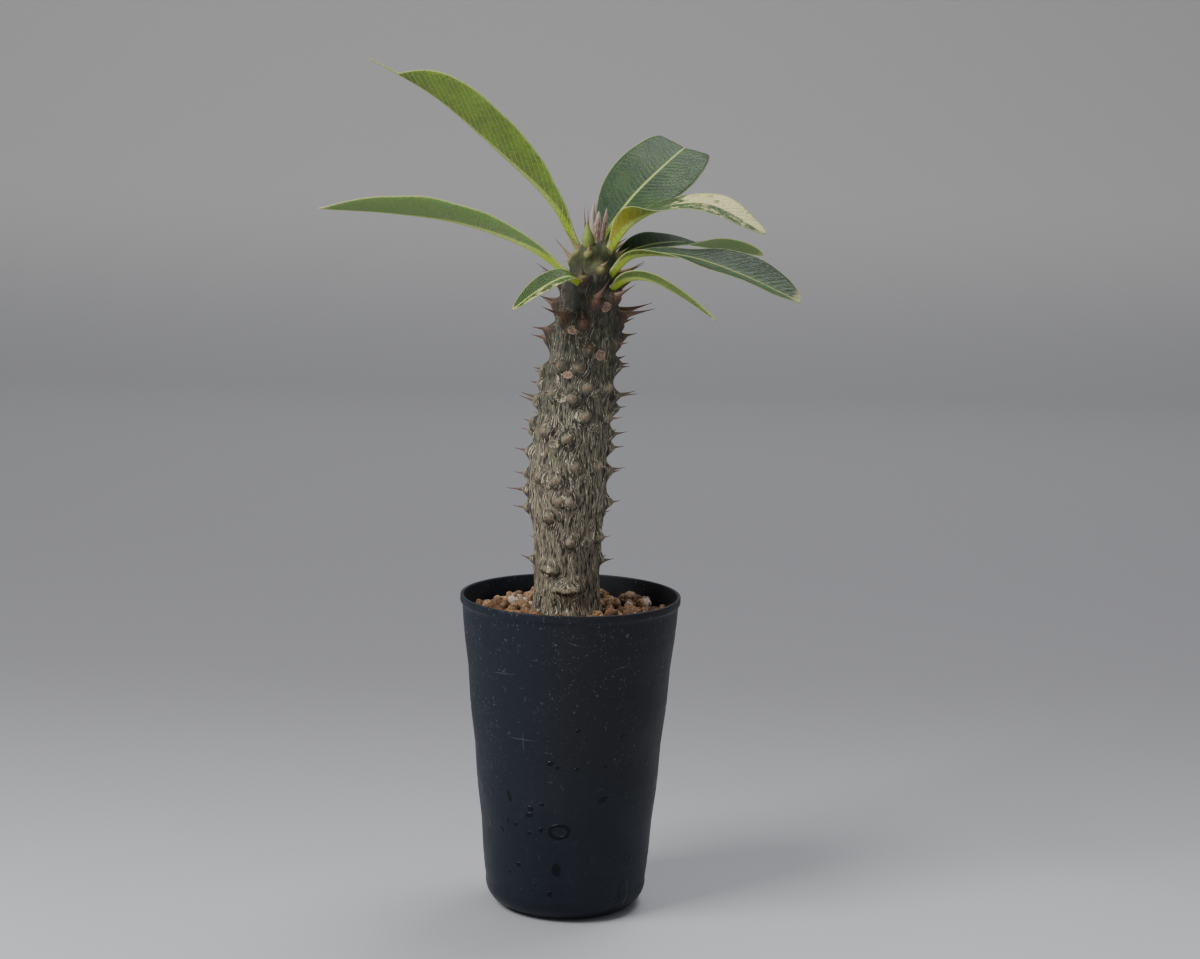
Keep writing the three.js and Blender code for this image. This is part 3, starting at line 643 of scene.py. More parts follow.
class PotSettings(bpy.types.PropertyGroup):
    """Sizes and colours of the nursery pot."""

    height: length("Height", "Height of the pot", frame_size("pot", 2))
    rim: length("Rim radius", "Outer radius of the rim", frame_size("pot", 0) / 2)
    plastic: shade("Plastic", "Colour of the moulded plastic", (0.0118, 0.0115, 0.0132))
    dust: shade("Dust", "Colour of the dust and lime on the wall", (0.2, 0.21, 0.22))


class GritSettings(bpy.types.PropertyGroup):
    """Sizes and colours of the grains in the pot."""

    count: bpy.props.IntProperty(name="Grains", description="Number of grains", default=520, min=1)
    smallest: length("Smallest", "Radius of the smallest grains", 0.0016)
    largest: length("Largest", "Radius of the largest grains", 0.0034)
    ochre: shade("Ochre", "Colour of most grains", (0.36, 0.2, 0.095))
    pale: shade("Pale", "Colour of the pumice grains", (0.56, 0.47, 0.38))
    umber: shade("Umber", "Colour of the dark grains", (0.12, 0.055, 0.028))


class TrunkSettings(bpy.types.PropertyGroup):
    """Colours of the bark and the spines."""

    bark_low: shade("Old bark", "Colour of the bark near the soil", (0.185, 0.155, 0.105))
    bark_high: shade("Young bark", "Colour of the bark near the crown", (0.07, 0.066, 0.043))
    thread: shade("Threads", "Colour of the pale lines in the bark", (0.62, 0.55, 0.4))
    knob: shade("Knobs", "Colour of the knobs under the spines", (0.3, 0.255, 0.165))
    spine_foot: shade("Spine foot", "Colour of the high knobs and their spines", (0.15, 0.075, 0.045))
    spine_tip: shade("Spine tip", "Colour of a spine's tip", (0.05, 0.03, 0.025))


class LeafSettings(bpy.types.PropertyGroup):
    """Sizes and colours of the leaves."""

    thickness: length("Thickness", "Thickness of the blade", 0.00055)
    face: shade("Upper face", "Colour of the waxy upper face", (0.014, 0.045, 0.012))
    back: shade("Under face", "Colour of the under face", (0.17, 0.26, 0.03))
    rib: shade("Midrib", "Colour of the midrib and the leaf stalk", (0.4, 0.5, 0.13))


class StageSettings(bpy.types.PropertyGroup):
    """The floor and the lights."""

    floor: shade("Floor", "Colour of the floor", (0.56, 0.57, 0.595))
    key: number("Key light", "Power of the large light at the upper left", 39.0, unit="POWER")
    top: number("Top light", "Power of the light above", 20.0, unit="POWER")
    fill: number("Surroundings", "Strength of the even light from all sides", 0.37)


def outer_wall(height, rim, top):
    return mix(FOOT_RADIUS, rim - LIP_PROUD, (height - CORNER_RADIUS) / (top - CORNER_RADIUS))


def corner_arc(radius, low, count):
    """The quarter round at the foot of a wall, from height low up to where the wall starts."""
    middle = FOOT_RADIUS - CORNER_RADIUS
    angle = np.linspace(math.asin((low - CORNER_RADIUS) / radius), 0, count)
    return np.stack([middle + radius * np.cos(angle), CORNER_RADIUS + radius * np.sin(angle)], -1)


def pot_profile(rim, top):
    """Radius and height along the pot's skin, from the middle of its underside round the rim to
    the middle of its floor. The outer wall draws in over one band and comes out again over the
    next, with a faint groove where they meet."""
    under = rounded_path([(0, 0), (CHANNEL_INNER, 0), (CHANNEL_INNER, CHANNEL_HEIGHT),
                          (CHANNEL_OUTER, CHANNEL_HEIGHT), (CHANNEL_OUTER, 0),
                          (FOOT_RADIUS - CORNER_RADIUS, 0)], 0.3, 2)
    lip = top - LIP_HEIGHT
    wall_heights = np.arange(CORNER_RADIUS + WALL_ROW, lip - 0.3, WALL_ROW)
    wave = 0.5 - 0.5 * np.cos(np.pi * (wall_heights - BAND_LOWEST) / BAND_SPACING)
    lines = sum(np.exp(-((wall_heights - BAND_LOWEST - BAND_SPACING * band) / BAND_LINE_HALF) ** 2)
                for band in range(BAND_COUNT))
    wall = outer_wall(wall_heights, rim, top) - BAND_DEPTH * wave - BAND_LINE * lines
    wall_points = np.stack([wall, wall_heights], -1)
    inner_top = outer_wall(top, rim, top) - WALL
    rim_points = rounded_path([(outer_wall(lip, rim, top), lip - 0.2), (rim, lip + 0.5), (rim, top - 0.2),
                               (rim - 0.3, top), (inner_top + 0.2, top), (inner_top, top - 0.6),
                               (outer_wall(lip, rim, top) - WALL, lip)], 0.35, 2)
    inner_heights = np.arange(lip - 2, CORNER_RADIUS, -2.5)
    inner = np.stack([outer_wall(inner_heights, rim, top) - WALL, inner_heights], -1)
    floor_arc = corner_arc(CORNER_RADIUS - WALL, BASE_TOP, 6)[::-1]
    floor = np.stack([np.linspace(floor_arc[-1, 0], 0, 10)[1:], np.full(9, BASE_TOP)], -1)
    arc = corner_arc(CORNER_RADIUS, 0, 14)[1:]
    return np.vstack([under, arc, wall_points, rim_points, inner, floor_arc, floor])


def pot_skin(rim, top):
    """A lathe of the pot's profile. The skin wavers by a fifth of a millimetre, as thin moulded
    plastic does, and the foot ring is lifted to the notch height in three windows."""
    profile = pot_profile(rim, top)
    rings = lathe(profile[1:-1], POT_COLUMNS)
    turn = np.arange(POT_COLUMNS) * 360 / POT_COLUMNS - 180
    waver = WAVER * noise(rings / WAVER_LENGTH, 5) * smooth(rings[..., 2], 8, 40)
    rings[..., :2] *= (1 + waver / np.maximum(profile[1:-1, :1], 1))[..., None]
    for notch in range(NOTCH_COUNT):
        middle = NOTCH_FIRST_TURN + 360 * notch / NOTCH_COUNT
        aside = profile[1:-1, :1] * np.sin(np.radians(wrapped(turn - middle)))
        ahead = np.abs(wrapped(turn - middle)) < 90
        within = ahead & (np.abs(aside) < NOTCH_WIDTH / 2) & (profile[1:-1, :1] > CHANNEL_OUTER - 1)
        rings[..., 2] = np.where(within, np.maximum(rings[..., 2], NOTCH_HEIGHT), rings[..., 2])
    along = np.append(0, np.cumsum(np.linalg.norm(np.diff(profile, axis=0), axis=1)))[1:-1]
    wall_start = along[np.argmin(np.abs(profile[1:-1] - [FOOT_RADIUS, CORNER_RADIUS]).sum(1))]
    seam_turn = np.append(turn, 180)
    flat = np.stack(np.broadcast_arrays(np.radians(seam_turn)[None] * MARK_RADIUS,
                                        along[:, None] - wall_start + CORNER_RADIUS), -1) * MM
    skin = Skin()
    skin.add_tube(rings, flat)
    return skin


def drain_cutter():
    """Six upright pegs where the drain holes are."""
    skin = Skin()
    profile = np.array([(DRAIN_RADIUS, -1), (DRAIN_RADIUS, BASE_TOP + 2)])
    for drain in range(DRAIN_COUNT):
        angle = 2 * math.pi * drain / DRAIN_COUNT
        peg = lathe(profile, 24) + DRAIN_CIRCLE * np.array([math.cos(angle), math.sin(angle), 0])
        skin.add_tube(peg)
    return skin


def cut_out(piece, cutter):
    """Cuts one object's shape out of another's mesh for good, and deletes the cutter."""
    cut = piece.modifiers.new("holes", "BOOLEAN")
    cut.object = cutter
    cut.operation = "DIFFERENCE"
    cut.solver = "EXACT"
    graph = bpy.context.evaluated_depsgraph_get()
    mesh = bpy.data.meshes.new_from_object(piece.evaluated_get(graph))
    piece.modifiers.clear()
    piece.data = mesh
    bpy.data.objects.remove(cutter)


def black_plastic(settings):
    """Matt black moulded plastic with a painted bluish sky reflection on the left, darker below, with
    a dusty film, lime specks, scratches, hairlines on the upper left and water drops. The drops and
    scratches are spots in the wall's own coordinates, the nearest one winning."""
    finish = Finish("moulded_black_plastic", {"IOR": 1.45, "Specular IOR Level": 0.3,
                                              "Specular Tint": (0.74, 0.85, 1.0, 1.0)})
    wall, place = finish.surface(), finish.coordinates()

    def nearest(marks):
        found = None
        for turn, height, across, tall, lean in marks:
            middle = (math.radians(turn) * MARK_RADIUS * MM, height * MM)
            far = finish.spot(wall, middle, (across * MM, tall * MM), lean)
            found = far if found is None else finish.math("MINIMUM", found, far)
        return found

    drop = finish.step(nearest([*DROPS, WET_PATCH]), 1.15, 0.75)
    ring = finish.step(finish.off(nearest([WIDE_DROP]), 0.86), 0.26, 0.12)
    wet = finish.math("MAXIMUM", drop, ring)
    scratch = finish.step(nearest(SCRATCHES), 1.3, 0.4)
    film = finish.noise(place, 38, 4, 0.62)
    across, height = finish.axis(place, 0), finish.axis(place, 2)
    high = (height, 0.03, 0.11, 0.25, 1.0)
    specks = finish.where((finish.noise(place, 900, 3, 0.6), 0.63, 0.7),
                          (finish.noise(place, 45, 3), 0.38, 0.58), high)
    hair = finish.off(finish.noise(wall, 190, 1, 0.5, 1.2), 0.5)
    gate = finish.math("SUBTRACT", finish.noise(place, 330, 2), finish.step(across, -0.04, 0.03, 0.53, 0.6))
    hairs = finish.where((hair, 0.012, 0.004), (gate, 0.0, 0.06), high)
    marked = finish.plus(finish.times(specks, 0.5), finish.times(hairs, 0.3), finish.times(scratch, 0.3))
    # painted reflection: the plastic is mixed to a bluer tone on the left side, as sky reflected there
    plain = finish.mixed(finish.step(across, -0.03, 0.005), (0.009, 0.0112, 0.019), settings.plastic)
    finish.set("Base Color", finish.layered(
        plain,
        (finish.step(height, 0.075, 0.03, 0.0, 0.7), (0.0066, 0.0092, 0.0155)),
        (finish.step(film, 0.42, 0.75, 0.0, 0.025), settings.dust),
        (marked, settings.dust),
        (wet, (0.001, 0.0012, 0.0018))))
    dry = finish.step(film, 0.35, 0.7, 0.42, 0.58)
    finish.set("Roughness", finish.plus(dry, finish.times(wet, -0.36)))
    finish.relief(finish.plus(finish.times(finish.noise(place, 1700, 2), 0.1), finish.times(wet, 0.9),
                              finish.times(specks, 0.2)), 0.0003)
    return finish.material


class PLANT_OT_nursery_pot(bpy.types.Operator):
    """Make the deep black nursery pot"""

    bl_idname = "plant.nursery_pot"
    bl_label = "Nursery pot"

    def execute(self, context):
        settings = context.scene.plant_pot
        skin = pot_skin(settings.rim / MM, settings.height / MM)
        pot = skin.to_object("nursery_pot", black_plastic(settings))
        cutter = drain_cutter().to_object("drain_cutter", pot.data.materials[0])
        cut_out(pot, cutter)
        stand_for(pot, ["pot"])
        return {"FINISHED"}


# Trunk

TRUNK_TABLE = curve_through([(z, r) for z, _, r in TRUNK_PROFILE], np.linspace(0, 1, 1000), clamped=True)[0]
SCARS = FRONT_SCARS + [(turn, height) for turn, heights in BACK_SCARS for height in heights]


def trunk_radius(height):
    return np.interp(height, TRUNK_TABLE[:, 0], TRUNK_TABLE[:, 1])


def trunk_middle(height):
    return np.interp(height, [row[0] for row in TRUNK_PROFILE], [row[1] for row in TRUNK_PROFILE])


def read_off(table, height):
    return np.interp(height, *table)


def knob_list():
    """Every knob of the trunk: turn, height, turn of its spine, rise and reach."""
    knobs = list(FRONT_KNOBS)
    for turn, heights in BACK_SCARS:
        for height in heights:
            aside = math.degrees(BACK_ASIDE / trunk_radius(height))
            rise, reach = read_off(BACK_RISE, height), read_off(BACK_REACH, height)
            for side in (-1, 1):
                aim = turn + side * (aside / 2 + BACK_SPLAY)
                knobs.append((turn + side * aside, height + BACK_ABOVE, aim, rise, reach))
    return knobs


KNOBS = knob_list()


def hump(across, up, width, above, below, power=2.0):
    """A smooth hump that falls off at its own rate sideways, upwards and downwards. A power above
    2 gives it a round top and steep sides, and one below 2 a sharp top and a wide foot."""
    far = (across / width) ** 2 + (up / np.where(up > 0, above, below)) ** 2
    return np.exp(-far ** (power / 2))


def bark_relief(turn, height):
    """How far the bark stands proud of the plain trunk, and what lies where on it: a wide swelling
    and a knob under each spine, the lines of the bark, which are upright and are pushed aside by
    each knob they pass, and the leaf scars."""
    radius = trunk_radius(height)
    swell = np.zeros(np.broadcast(turn, height).shape)
    knob, tip, scar = swell.copy(), swell.copy(), swell.copy()
    flow = swell + turn
    for middle, foot, *_ in KNOBS:
        apart = wrapped(turn - middle)
        across, up = np.radians(apart) * radius, height - foot
        rise = read_off(SWELL_HEIGHT, foot) * hump(across, up, SWELL_WIDTH, SWELL_TALL, SWELL_TALL)
        swell = np.maximum(swell, SWELL_SHARED * swell + rise)
        near = hump(across, up, read_off(KNOB_WIDTH, foot), read_off(KNOB_ABOVE, foot),
                    read_off(KNOB_BELOW, foot), read_off(KNOB_POWER, foot))
        knob = np.maximum(knob, read_off(KNOB_HEIGHT, foot) * near)
        tip = np.maximum(tip, near)
        flow -= FLOW_PUSH * apart * hump(across, up, FLOW_WIDTH, FLOW_TALL, FLOW_TALL)
    for middle, foot in SCARS:
        across = np.radians(wrapped(turn - middle)) * radius
        scar = np.maximum(scar, 1 - np.hypot(across / SCAR_HALF_WIDTH, (height - foot) / SCAR_HALF_HEIGHT))
    return swell, knob, tip, flow, scar


def bark_point(turn, height):
    """One point of the bark, without its knobs and fine relief."""
    swell = bark_relief(np.array([turn]), np.array([float(height)]))[0]
    reach = trunk_radius(height) + swell[0]
    return outward(turn) * reach + np.array([trunk_middle(height), 0, height])


def bark_skin(skin):
    """The trunk from the tip of its tap root to the growing point. Each ring is a circle of the
    profile's radius plus the relief of the bark, fine upright fissures and low lumps. A scar that
    carries no disc is a ring-shaped swelling with a hollow in it."""
    top = TRUNK_PROFILE[-1][0]
    heights = np.concatenate([np.linspace(TRUNK_PROFILE[0][0], BARK_START, ROOT_ROWS, endpoint=False),
                              np.arange(BARK_START, top - 0.3, BARK_ROW), [top]])
    turn = np.arange(TRUNK_COLUMNS) * 360 / TRUNK_COLUMNS - 180
    height_grid, turn_grid = heights[:, None], turn[None, :]
    swell, knob, tip, flow, scar = bark_relief(turn_grid, height_grid)
    shown = smooth(height_grid, BARK_START, BARK_START + 4)
    reach = trunk_radius(height_grid) + shown * (swell + knob)
    plain = outward(turn)[None] * trunk_radius(height_grid)[..., None]
    plain = plain + np.array([0, 0, 1]) * height_grid[..., None]
    fissures = rough(plain * [0.9, 0.9, 0.16], 11)
    old = smooth(height_grid, 215, 165)
    lumps = rough(plain * [0.22, 0.22, 0.13], 23)
    reach = reach + shown * (FISSURE_DEPTH * fissures * mix(0.6, 1.4, old) + LUMP_DEPTH * lumps)
    bare_scar = shown * smooth(height_grid, STUB_FROM_HEIGHT + 2, STUB_FROM_HEIGHT)
    reach = reach + SCAR_DEPTH * bare_scar * (smooth(scar, 0.0, 0.25) - 1.4 * smooth(scar, 0.3, 0.6))
    grid = outward(turn)[None] * reach[..., None]
    grid[..., 0] += trunk_middle(height_grid)
    grid[..., 2] = height_grid
    seam_flow = np.hstack([flow, flow[:, :1] + 360])
    flat = np.stack(np.broadcast_arrays(seam_flow / 360, height_grid * MM), -1)
    skin.add_tube(grid, flat, knob=tip * shown, scar=np.clip(scar, 0, 1), disc=0.0)


def framed(direction):
    """Two directions square to a third: one level and one upwards."""
    side = unit(np.cross(direction, [0, 0, 1.0]))
    return side, np.cross(side, direction)


def angles(count):
    return np.arange(count) * 2 * math.pi / count


def ring_of(angle, side, up):
    """Points at the angles round an oval whose half axes are side and up."""
    return np.cos(angle)[:, None] * side + np.sin(angle)[:, None] * up


def scar_discs(skin):
    """The corky ends of fallen leaf stalks: low turned discs with a raised edge and rings. The
    higher ones are nearly round and the lower ones flatter."""
    share = np.concatenate([np.linspace(0.06, 0.9, 12), [0.97, 1.0, 1.02, 1.04]])
    proud = STUB_PROUD - 0.12 + 0.1 * np.cos(share * 17) + 0.14 * smooth(share, 0.7, 0.9)
    proud = np.where(share > 0.92, mix(STUB_PROUD, -STUB_SUNK, smooth(share, 0.92, 1.04)), proud)
    angle = angles(STUB_COLUMNS)
    for turn, height in SCARS:
        if not STUB_FROM_HEIGHT < height < STUB_TO_HEIGHT:
            continue
        direction = outward(turn)
        direction[2] = STUB_TILT
        direction = unit(direction)
        side, up = framed(direction)
        waver = 1 + 0.06 * np.sin(2 * angle + turn) + 0.03 * np.sin(5 * angle + height)
        ring = ring_of(angle, side, (STUB_ROUND if height > STUB_ROUND_FROM else STUB_FLAT) * up)
        grid = (share[:, None] * waver * STUB_RADIUS)[..., None] * ring
        grid = grid + proud[:, None, None] * direction + bark_point(turn, height)
        level = np.full((1, STUB_COLUMNS + 1), height * MM)
        flat = np.stack(np.broadcast_arrays(share[:, None] * 0.01, level), -1)
        skin.add_tube(grid, flat, knob=0.0, scar=0.0, disc=share[:, None])


def bark(settings):
    """Grey-brown bark, greener and darker upwards, with pale threads that run up it and part round
    the knobs. A knob has painted shade round its foot, a pale crest and a pink tip low down, is brown
    in the upper part and olive at the crown. Between the knobs of the crown the bark is painted
    near black as shade under the leaves. Scars are netted, and the discs are cork with a dark rim."""
    finish = Finish("fissured_bark")
    place, flat = finish.coordinates(), finish.surface()
    height, across = finish.axis(place, 2), finish.axis(flat, 0)
    knob, scar, disc = (finish.value(name) for name in ("knob", "scar", "disc"))
    wander = finish.noise(finish.stretched(place, (1, 1, 0.35)), 260, 3, 0.6)
    moss = finish.noise(place, 95, 4, 0.6)
    dark = finish.noise(finish.stretched(place, (1, 1, 0.22)), 1050, 3, 0.6)

    def threads(count, width, gate_scale, gate_low):
        """Thin lines at equal steps of the flow round the trunk, with gaps where a noise is low."""
        bent = finish.math("MULTIPLY_ADD", across, count, finish.times(wander, 4.2))
        part = finish.off(finish.math("FRACT", bent), 0.5)
        gate = finish.noise(finish.stretched(place, (1, 1, 0.3)), gate_scale, 2)
        return finish.where((part, width, width * 0.45), (gate, gate_low, gate_low + 0.1))

    fine = finish.times(threads(104.0, 0.2, 700, 0.47), finish.step(height, 0.23, 0.18, 0.5, 0.9))
    coarse = finish.times(threads(52.0, 0.1, 240, 0.5), 0.8)
    lines = finish.times(finish.math("MAXIMUM", fine, coarse), finish.step(knob, 0.75, 0.35, 0.35, 1.0))
    net = finish.where((finish.cells(place, 900, "DISTANCE_TO_EDGE"), 0.16, 0.04), (scar, 0.02, 0.2),
                       (finish.noise(place, 300, 2), 0.35, 0.55))
    pale = finish.math("MAXIMUM", lines, net)
    umber = finish.mixed(finish.step(knob, 0.45, 0.95), (0.05, 0.031, 0.02), settings.spine_foot)
    umber = finish.mixed(finish.step(dark, 0.55, 0.42, 0.0, 0.6), umber, (0.02, 0.013, 0.009))
    olive = finish.mixed(finish.step(knob, 0.4, 0.9), (0.05, 0.058, 0.02), (0.23, 0.23, 0.075))
    lush = finish.mixed(finish.step(moss, 0.35, 0.6), (0.035, 0.042, 0.014), (0.08, 0.09, 0.028))
    grain = finish.step(finish.noise(place, 1400, 3), 0.4, 0.65)
    cork = finish.layered(
        finish.mixed(grain, (0.36, 0.23, 0.16), (0.15, 0.08, 0.055)),
        (finish.step(disc, 0.72, 0.84), (0.4, 0.3, 0.2)),
        (finish.step(disc, 0.9, 0.98), (0.02, 0.015, 0.01)))
    finish.set("Base Color", finish.layered(
        finish.mixed(finish.step(height, 0.165, 0.235), settings.bark_low, settings.bark_high),
        (finish.where((moss, 0.45, 0.65), (height, 0.15, 0.2, 0.15, 0.6)), (0.075, 0.088, 0.05)),
        (finish.step(moss, 0.5, 0.25, 0.0, 0.45), (0.045, 0.036, 0.026)),
        (finish.step(dark, 0.56, 0.4, 0.0, 0.95), (0.012, 0.011, 0.007)),
        # painted shade: a dark ring in the crease round each knob's foot
        (finish.where((knob, 0.02, 0.16), (knob, 0.5, 0.22, 0.0, 0.55)), (0.016, 0.014, 0.009)),
        (finish.where((knob, 0.45, 0.85), (height, 0.235, 0.215, 0.0, 0.42)), settings.knob),
        (pale, settings.thread),
        (finish.step(height, 0.2585, 0.264), lush),
        (finish.where((knob, 0.15, 0.5), (height, 0.222, 0.24, 0.0, 0.95)),
         finish.mixed(finish.step(height, 0.256, 0.264), umber, olive)),
        (finish.where((knob, 0.88, 0.99, 0.0, 0.7), (height, 0.24, 0.22), (height, 0.145, 0.16)),
         (0.27, 0.15, 0.11)),
        # painted shade: the bark between the knobs of the crown is made near black, as shade under the
        # leaves
        (finish.where((knob, 0.3, 0.03), (height, 0.236, 0.25, 0.0, 0.85), (height, 0.264, 0.257, 0.7, 1.0)),
         (0.014, 0.013, 0.009)),
        (finish.step(disc, 0.001, 0.03), cork)))
    finish.set("Roughness", finish.step(moss, 0.3, 0.7, 0.62, 0.85))
    finish.relief(finish.plus(finish.times(pale, 0.7), finish.times(dark, 0.8),
                              finish.times(finish.noise(place, 2400, 2), 0.25)), 0.0005)
    return finish.material


class PLANT_OT_trunk(bpy.types.Operator):
    """Make the trunk with its bark, knobs, scars and tap root"""

    bl_idname = "plant.trunk"
    bl_label = "Trunk"

    def execute(self, context):
        skin = Skin()
        bark_skin(skin)
        scar_discs(skin)
        trunk = skin.to_object("barked_trunk", bark(context.scene.plant_trunk))
        stand_for(trunk, ["trunk"])
        return {"FINISHED"}


def thorn(skin, foot, direction, reach, radius, bend, age):
    """A thorn: rings along a line that bends by the square of the way along, with a radius that
    falls as a power of what is left of the way, so that it is broad at its foot and slim above."""
    way = mix(-SPINE_SUNK / reach, 1, np.linspace(0, 1, SPINE_ROWS) ** 1.25)
    line = foot + way[:, None] * reach * direction + (np.clip(way, 0, 1) ** 2)[:, None] * bend
    left = np.clip(1 - way, 0, 1.1)
    size = radius * (0.72 * left ** SPINE_TAPER + 0.28 * left) + 0.04
    side, up = framed(direction)
    ring = ring_of(angles(SPINE_COLUMNS), SPINE_SECTION[0] * side, SPINE_SECTION[1] * up)
    grid = line[:, None] + size[:, None, None] * ring[None]
    skin.add_tube(grid, along=np.clip(way, 0, 1)[:, None], age=age)


def bud(foot, tip, radius, rows=18, columns=20):
    """A plump bud round the line from foot to tip, with a point at its end."""
    share = np.linspace(0, 1, rows)[:, None]
    way = np.subtract(tip, foot)
    side, up = framed(way / np.linalg.norm(way))
    size = radius * np.interp(share, [0, 0.15, 0.35, 0.6, 0.85, 1], [0.7, 0.95, 1, 0.72, 0.28, 0.06])
    return (foot + share * way)[:, None] + size[..., None] * ring_of(angles(columns), side, up)[None]


def thorn_skin():
    """A thorn on every knob, and a bud with two thin thorns at the growing point."""
    draw = np.random.default_rng(SPINE_SEED)
    skin = Skin()
    for turn, height, aim_turn, rise, reach in KNOBS:
        rise = math.radians(rise + draw.uniform(-3, 3))
        aim = outward(aim_turn + draw.uniform(-3, 3)) * math.cos(rise)
        aim[2] = math.sin(rise)
        reach *= draw.uniform(0.95, 1.08)
        bend = np.array([0, 0, 1]) * draw.uniform(0.0, 0.16) * reach
        age = np.clip((250 - height) / 110, 0, 1)
        thorn(skin, bark_point(turn, height), unit(aim), reach, read_off(SPINE_RADIUS, height), bend, age)
    skin.add_tube(bud(*BUD), along=0.0, age=-2.0)
    for foot, tip, radius in YOUNG_SPINES:
        way = np.subtract(tip, foot)
        reach = np.linalg.norm(way)
        thorn(skin, np.array(foot), way / reach, reach, radius, np.zeros(3), -1.0)
    return skin


def thorn_finish(settings):
    """Thorns go from the bark's grey-brown through warm brown to a dark tip, greyer with age, and
    those of the crown are tan. The youngest are red, and the bud is green."""
    finish = Finish("woody_thorn", {"Roughness": 0.5})
    place = finish.coordinates()
    along, age = finish.value("along"), finish.value("age")
    grain = finish.noise(place, 420, 3, 0.6)
    brown = finish.mixed(finish.step(age, 0.1, 0.6), (0.1, 0.05, 0.035), (0.2, 0.1, 0.075))
    finish.set("Base Color", finish.layered(
        settings.spine_foot,
        (finish.step(grain, 0.35, 0.65), (0.13, 0.075, 0.05)),
        (finish.step(age, 0.05, 0.5), (0.13, 0.11, 0.075)),
        (finish.step(along, 0.25, 0.6), brown),
        (finish.step(finish.axis(place, 2), 0.26, 0.266), (0.27, 0.2, 0.1)),
        (finish.step(along, 0.6, 0.95), settings.spine_tip),
        (finish.step(age, -0.2, -0.8), (0.17, 0.07, 0.05)),
        (finish.step(age, -1.2, -1.8), (0.2, 0.27, 0.055))))
    finish.relief(grain, 0.0002)
    return finish.material


class PLANT_OT_thorns(bpy.types.Operator):
    """Make the thorns of the trunk and the bud at its top"""

    bl_idname = "plant.thorns"
    bl_label = "Thorns"

    def execute(self, context):
        thorns = thorn_skin().to_object("paired_thorns", thorn_finish(context.scene.plant_trunk))
        stand_for(thorns, ["trunk"])
        return {"FINISHED"}


# Grit

def grit_bed(skin, rim, top):
    """The body of the grit: a plug that fills the pot, with a rough top and a hole for the root."""
    wall = corner_arc(CORNER_RADIUS - WALL - SOIL_CLEARANCE, BASE_TOP + SOIL_CLEARANCE, 6)
    inside = outer_wall(SOIL_EDGE_HEIGHT, rim, top) - WALL - SOIL_CLEARANCE
    root = np.array([(trunk_radius(z) + ROOT_ROOM, z) for z in (118, 112, 104, 96, 87, 79)])
    edge = trunk_radius(SOIL_CROWN_HEIGHT) + CROWN_ROOM
    bottom = rounded_path([(0, BASE_TOP + SOIL_CLEARANCE), wall[0]], 0.1, 4)[1:-1]
    sides = rounded_path([wall[-1], (inside, SOIL_EDGE_HEIGHT)], 0.1, 6)
    surface = rounded_path([(inside, SOIL_EDGE_HEIGHT), (edge, SOIL_CROWN_HEIGHT)], 0.1, 1.2)[1:]
    profile = np.vstack([bottom, wall, sides, surface, root])
    shift = np.zeros(len(profile))
    shift[-len(root) - 6:] = trunk_middle(SOIL_CROWN_HEIGHT)
    grid = lathe(profile, BED_COLUMNS, shift)
    lift = smooth(profile[:, 1], SOIL_EDGE_HEIGHT - 0.8, SOIL_EDGE_HEIGHT - 0.1)[:, None]
    lift = lift * (profile[:, :1] < inside - 1)
    grid[..., 2] += lift * (BED_ROUGHNESS * rough(grid * 0.35, 3) - BED_SUNK)
    # The bed takes a dark umber grain colour, painted shade for the gaps between the grains.
    skin.add_tube(grid, kind=0.15)


def grain_shape(draw, directions):
    """One grain: in each direction the nearest of a few flat cuts round it, with small pits."""
    cuts = unit(draw.normal(size=(GRAIN_PLANES, 3)))
    depth = draw.uniform(0.72, 1.0, GRAIN_PLANES)
    reach = (depth / np.maximum(directions @ cuts.T, 0.12)).min(-1)
    return np.clip(reach, 0.5, 1.22) * (1 + 0.07 * noise(directions * 3.1, int(draw.integers(1000))))


def grit_skin(settings, rim, top):
    """A rough bed with two layers of grains on it. The grains follow a sunflower spiral from the
    trunk to the wall, each drawn a little aside, at its own size, shape, turn and height."""
    draw = np.random.default_rng(GRAIN_SEED)
    skin = Skin()
    grit_bed(skin, rim, top)
    polar = np.linspace(0, math.pi, GRAIN_ROWS + 2)[1:-1, None]
    angle = angles(GRAIN_COLUMNS)[None]
    directions = np.stack(np.broadcast_arrays(np.sin(polar) * np.cos(angle), np.sin(polar) * np.sin(angle),
                                              np.cos(polar)), -1)
    small, large = settings.smallest / MM, settings.largest / MM
    inner = trunk_radius(SOIL_CROWN_HEIGHT) + 1.5
    middle = trunk_middle(SOIL_CROWN_HEIGHT)
    for grain in range(settings.count):
        upper = grain % 3 == 0
        size = mix(small, large, draw.random() ** 1.3)
        outer = outer_wall(SOIL_EDGE_HEIGHT, rim, top) - WALL - size - 0.4
        share = (grain + draw.random()) / settings.count
        radius = math.sqrt(mix(inner ** 2, outer ** 2, share)) + draw.uniform(-0.7, 0.7)
        radius = min(max(radius, inner + 0.6 * size), outer)
        turn = grain * math.radians(SPIRAL_TURN) + draw.uniform(-0.2, 0.2)
        level = mix(SOIL_CROWN_HEIGHT, SOIL_EDGE_HEIGHT, radius / outer)
        level += draw.uniform(1.6, 3.2) if upper else draw.uniform(-1.0, 0.6)
        shape = directions * grain_shape(draw, directions)[..., None]
        shape = shape * np.array([1.0, draw.uniform(0.72, 1.0), draw.uniform(0.62, 0.92)]) * size
        spin = np.array(Matrix.Rotation(draw.uniform(0, 6.28), 3, unit(draw.normal(size=3))))
        shift = [radius * math.cos(turn) + middle * (1 - share), radius * math.sin(turn), level]
        skin.add_tube(shape @ spin.T + shift, kind=draw.random())
    return skin


